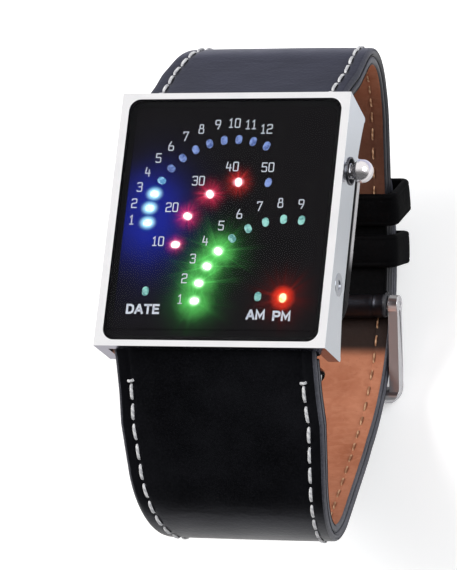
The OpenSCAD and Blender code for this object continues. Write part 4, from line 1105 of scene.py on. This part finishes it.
# The buckle's upward faces are painted dark, a painted dark reflection, and its sides are bright steel
BUCKLE_STEEL = steel("buckle_steel", (0.13, 0.11, 0.12), (0.84, 0.83, 0.85), 0.12, 0.2, metallic=0.65)
dress("buckle_frame", BUCKLE_STEEL, 0.45, 40.0, 4)
dress("buckle_tongue", BUCKLE_STEEL, 0.25, 40.0, 3)
dress("buckle_bar", BUCKLE_STEEL, 0.10)
dress("case_back_screws spring_bar_12 spring_bar_6 bar_tip_12 bar_tip_6 bar_spring_12 bar_spring_6 "
      "pusher_spring set_spring pusher_clip set_retainer",
      steel("spring_steel", (0.45, 0.45, 0.47), (0.45, 0.45, 0.47), 0.25, 0.3))
dress("crystal", glass_material(), 0.04)
dress("dial_plate", dial_material())
dress("crystal_gasket back_gasket pusher_seal",
      plain("black_rubber", (0.0030, 0.0030, 0.0034), (0.0060, 0.0060, 0.0066), 0.7, specular=0.06))
dress("light_guide", plain("light_guide_plastic", (0.012, 0.012, 0.013), (0.022, 0.022, 0.024), 0.45))
dress("circuit_board", board_material())
dress("driver_chip", plain("chip_epoxy", (0.012, 0.012, 0.013), (0.025, 0.025, 0.027), 0.5))
dress("capacitors", plain("capacitor_ceramic", (0.30, 0.20, 0.12), (0.42, 0.30, 0.19), 0.5))
dress("quartz_can", plain("can_metal", (0.60, 0.60, 0.62), (0.70, 0.70, 0.72), 0.25, 1.0))
dress("module_frame", plain("frame_plastic", (0.62, 0.61, 0.57), (0.74, 0.73, 0.69), 0.45))
dress("battery", plain("cell_steel", (0.60, 0.60, 0.61), (0.72, 0.72, 0.73), 0.22, 1.0))
dress("insulator", plain("insulating_film", (0.55, 0.28, 0.04), (0.68, 0.36, 0.06), 0.35))
dress("battery_clip battery_contact pusher_switch set_switch",
      plain("contact_brass", (0.62, 0.45, 0.18), (0.74, 0.56, 0.25), 0.25, 1.0))
dress("hour_leds tens_leds minute_leds status_leds",
      plain("led_phosphor", (0.65, 0.58, 0.30), (0.78, 0.72, 0.42), 0.4))


# ------ stage

def floor_material():
    """Pale paper. In reflections only, it is painted dark far in front of the watch and to its left, and
    painted bluish far behind it: painted reflections, which no card or window in the scene casts."""
    m = Shader("pale_floor")
    y = m.axis(m.object, "Y")
    path = m.node("ShaderNodeLightPath").outputs
    # painted reflections: dark in front and to the left, bluish behind, seen by glossy rays only
    painted_dark_reflection = m.math("MAXIMUM", m.span(y, -0.085, -0.200), m.span(m.axis(m.object, "X"), -0.12, -0.25))
    painted_blue_reflection = m.times(path["Is Glossy Ray"], m.span(y, 0.02, 0.12))
    tint = m.mix(painted_blue_reflection, (1.0, 1.0, 1.0), (0.62, 0.64, 0.86))
    tint = m.mix(m.times(path["Is Glossy Ray"], painted_dark_reflection), tint, (0.02, 0.02, 0.025))
    paper = m.mix(m.noise(300, 3, 0.6), (0.85, 0.85, 0.85), (0.87, 0.87, 0.87))
    tinted = m.node("ShaderNodeMix", {"Factor": 1.0, "A": paper, "B": tint},
                    data_type="RGBA", blend_type="MULTIPLY")
    m.set(Base_Color=tinted.outputs["Result"], Roughness=0.9, Specular_IOR_Level=0.0, Emission_Color=tint,
          Emission_Strength=m.times(path["Is Camera Ray"], 0.40))
    # From below the paper is clear, so that the underside of the watch can be looked at
    below = m.node("ShaderNodeNewGeometry").outputs["Backfacing"]
    clear = m.node("ShaderNodeBsdfTransparent").outputs[0]
    both = m.node("ShaderNodeMixShader", {0: below, 1: m.bsdf.outputs[0], 2: clear})
    m.feed(m.out.inputs["Surface"], both.outputs[0])
    return m.material


FLOOR_HALF = 6.0
FLOOR_GAP = 0.0002
bm = bmesh.new()
bmesh.ops.create_grid(bm, x_segments=1, y_segments=1, size=FLOOR_HALF,
                      matrix=Matrix.Translation((0, 0, cad_lo.z - FLOOR_GAP)))
floor = linked("floor", bm)
floor.data.materials.append(floor_material())

# The world is white to the camera. What mirrors see of it, and its plain light, fade towards six o'clock.
world = bpy.data.worlds.new("studio")
scene.world = world
world.use_nodes = True
sky = Graph(world.node_tree)
y = sky.axis(sky.node("ShaderNodeTexCoord").outputs["Generated"], "Y")
path = sky.node("ShaderNodeLightPath").outputs
mirrored = sky.math("MAXIMUM", path["Is Glossy Ray"], path["Is Transmission Ray"])
strength = sky.node("ShaderNodeMix", {
    "Factor": mirrored, "A": sky.span(y, -0.7, 0.4, 0.22, 0.52, smooth=False),
    "B": sky.span(y, -0.60, 0.20, 0.02, 1.0)}, data_type="FLOAT").outputs["Result"]
strength = sky.node("ShaderNodeMix", {
    "Factor": path["Is Camera Ray"], "A": strength, "B": 1.0}, data_type="FLOAT").outputs["Result"]
background = world.node_tree.nodes["Background"]
sky.feed(background.inputs["Strength"], strength)
background.inputs["Color"].default_value = (1.0, 1.0, 1.0, 1.0)

SOFTBOX_SIZE = 0.45
SOFTBOX_AIM = Vector((0, 0, -0.01))


def softbox(name, place, power, colour):
    lamp = bpy.data.lights.new(name, "AREA")
    lamp.shape = "SQUARE"
    lamp.size = SOFTBOX_SIZE
    lamp.energy = power
    lamp.color = colour
    o = bpy.data.objects.new(name, lamp)
    o.location = place
    o.rotation_euler = (SOFTBOX_AIM - Vector(place)).to_track_quat("-Z", "Y").to_euler()
    scene.collection.objects.link(o)


softbox("key_light", (-0.68, 0.08, 0.62), 7.0, (1.0, 0.98, 0.96))
softbox("fill_light", (0.55, 0.10, 0.55), 3.0, (0.95, 0.97, 1.0))

# Camera at the photograph's viewing angle, fitted to the corners of the bezel
CAMERA_AT = (0.20772, -0.19549, 0.58356)
CAMERA_AXES = ((0.9463, 0.1057, -0.3054), (-0.0066, 0.9511, 0.3088), (0.3231, -0.2903, 0.9008))
camera = bpy.data.cameras.new("camera")
camera.lens = 258.31
camera.sensor_width = 36.0
camera.clip_start = 0.05
camera.clip_end = 60.0
view = bpy.data.objects.new("camera", camera)
view.matrix_world = Matrix.Translation(CAMERA_AT) @ Matrix(CAMERA_AXES).transposed().to_4x4()
scene.collection.objects.link(view)
scene.camera = view
scene.view_settings.view_transform = "Standard"
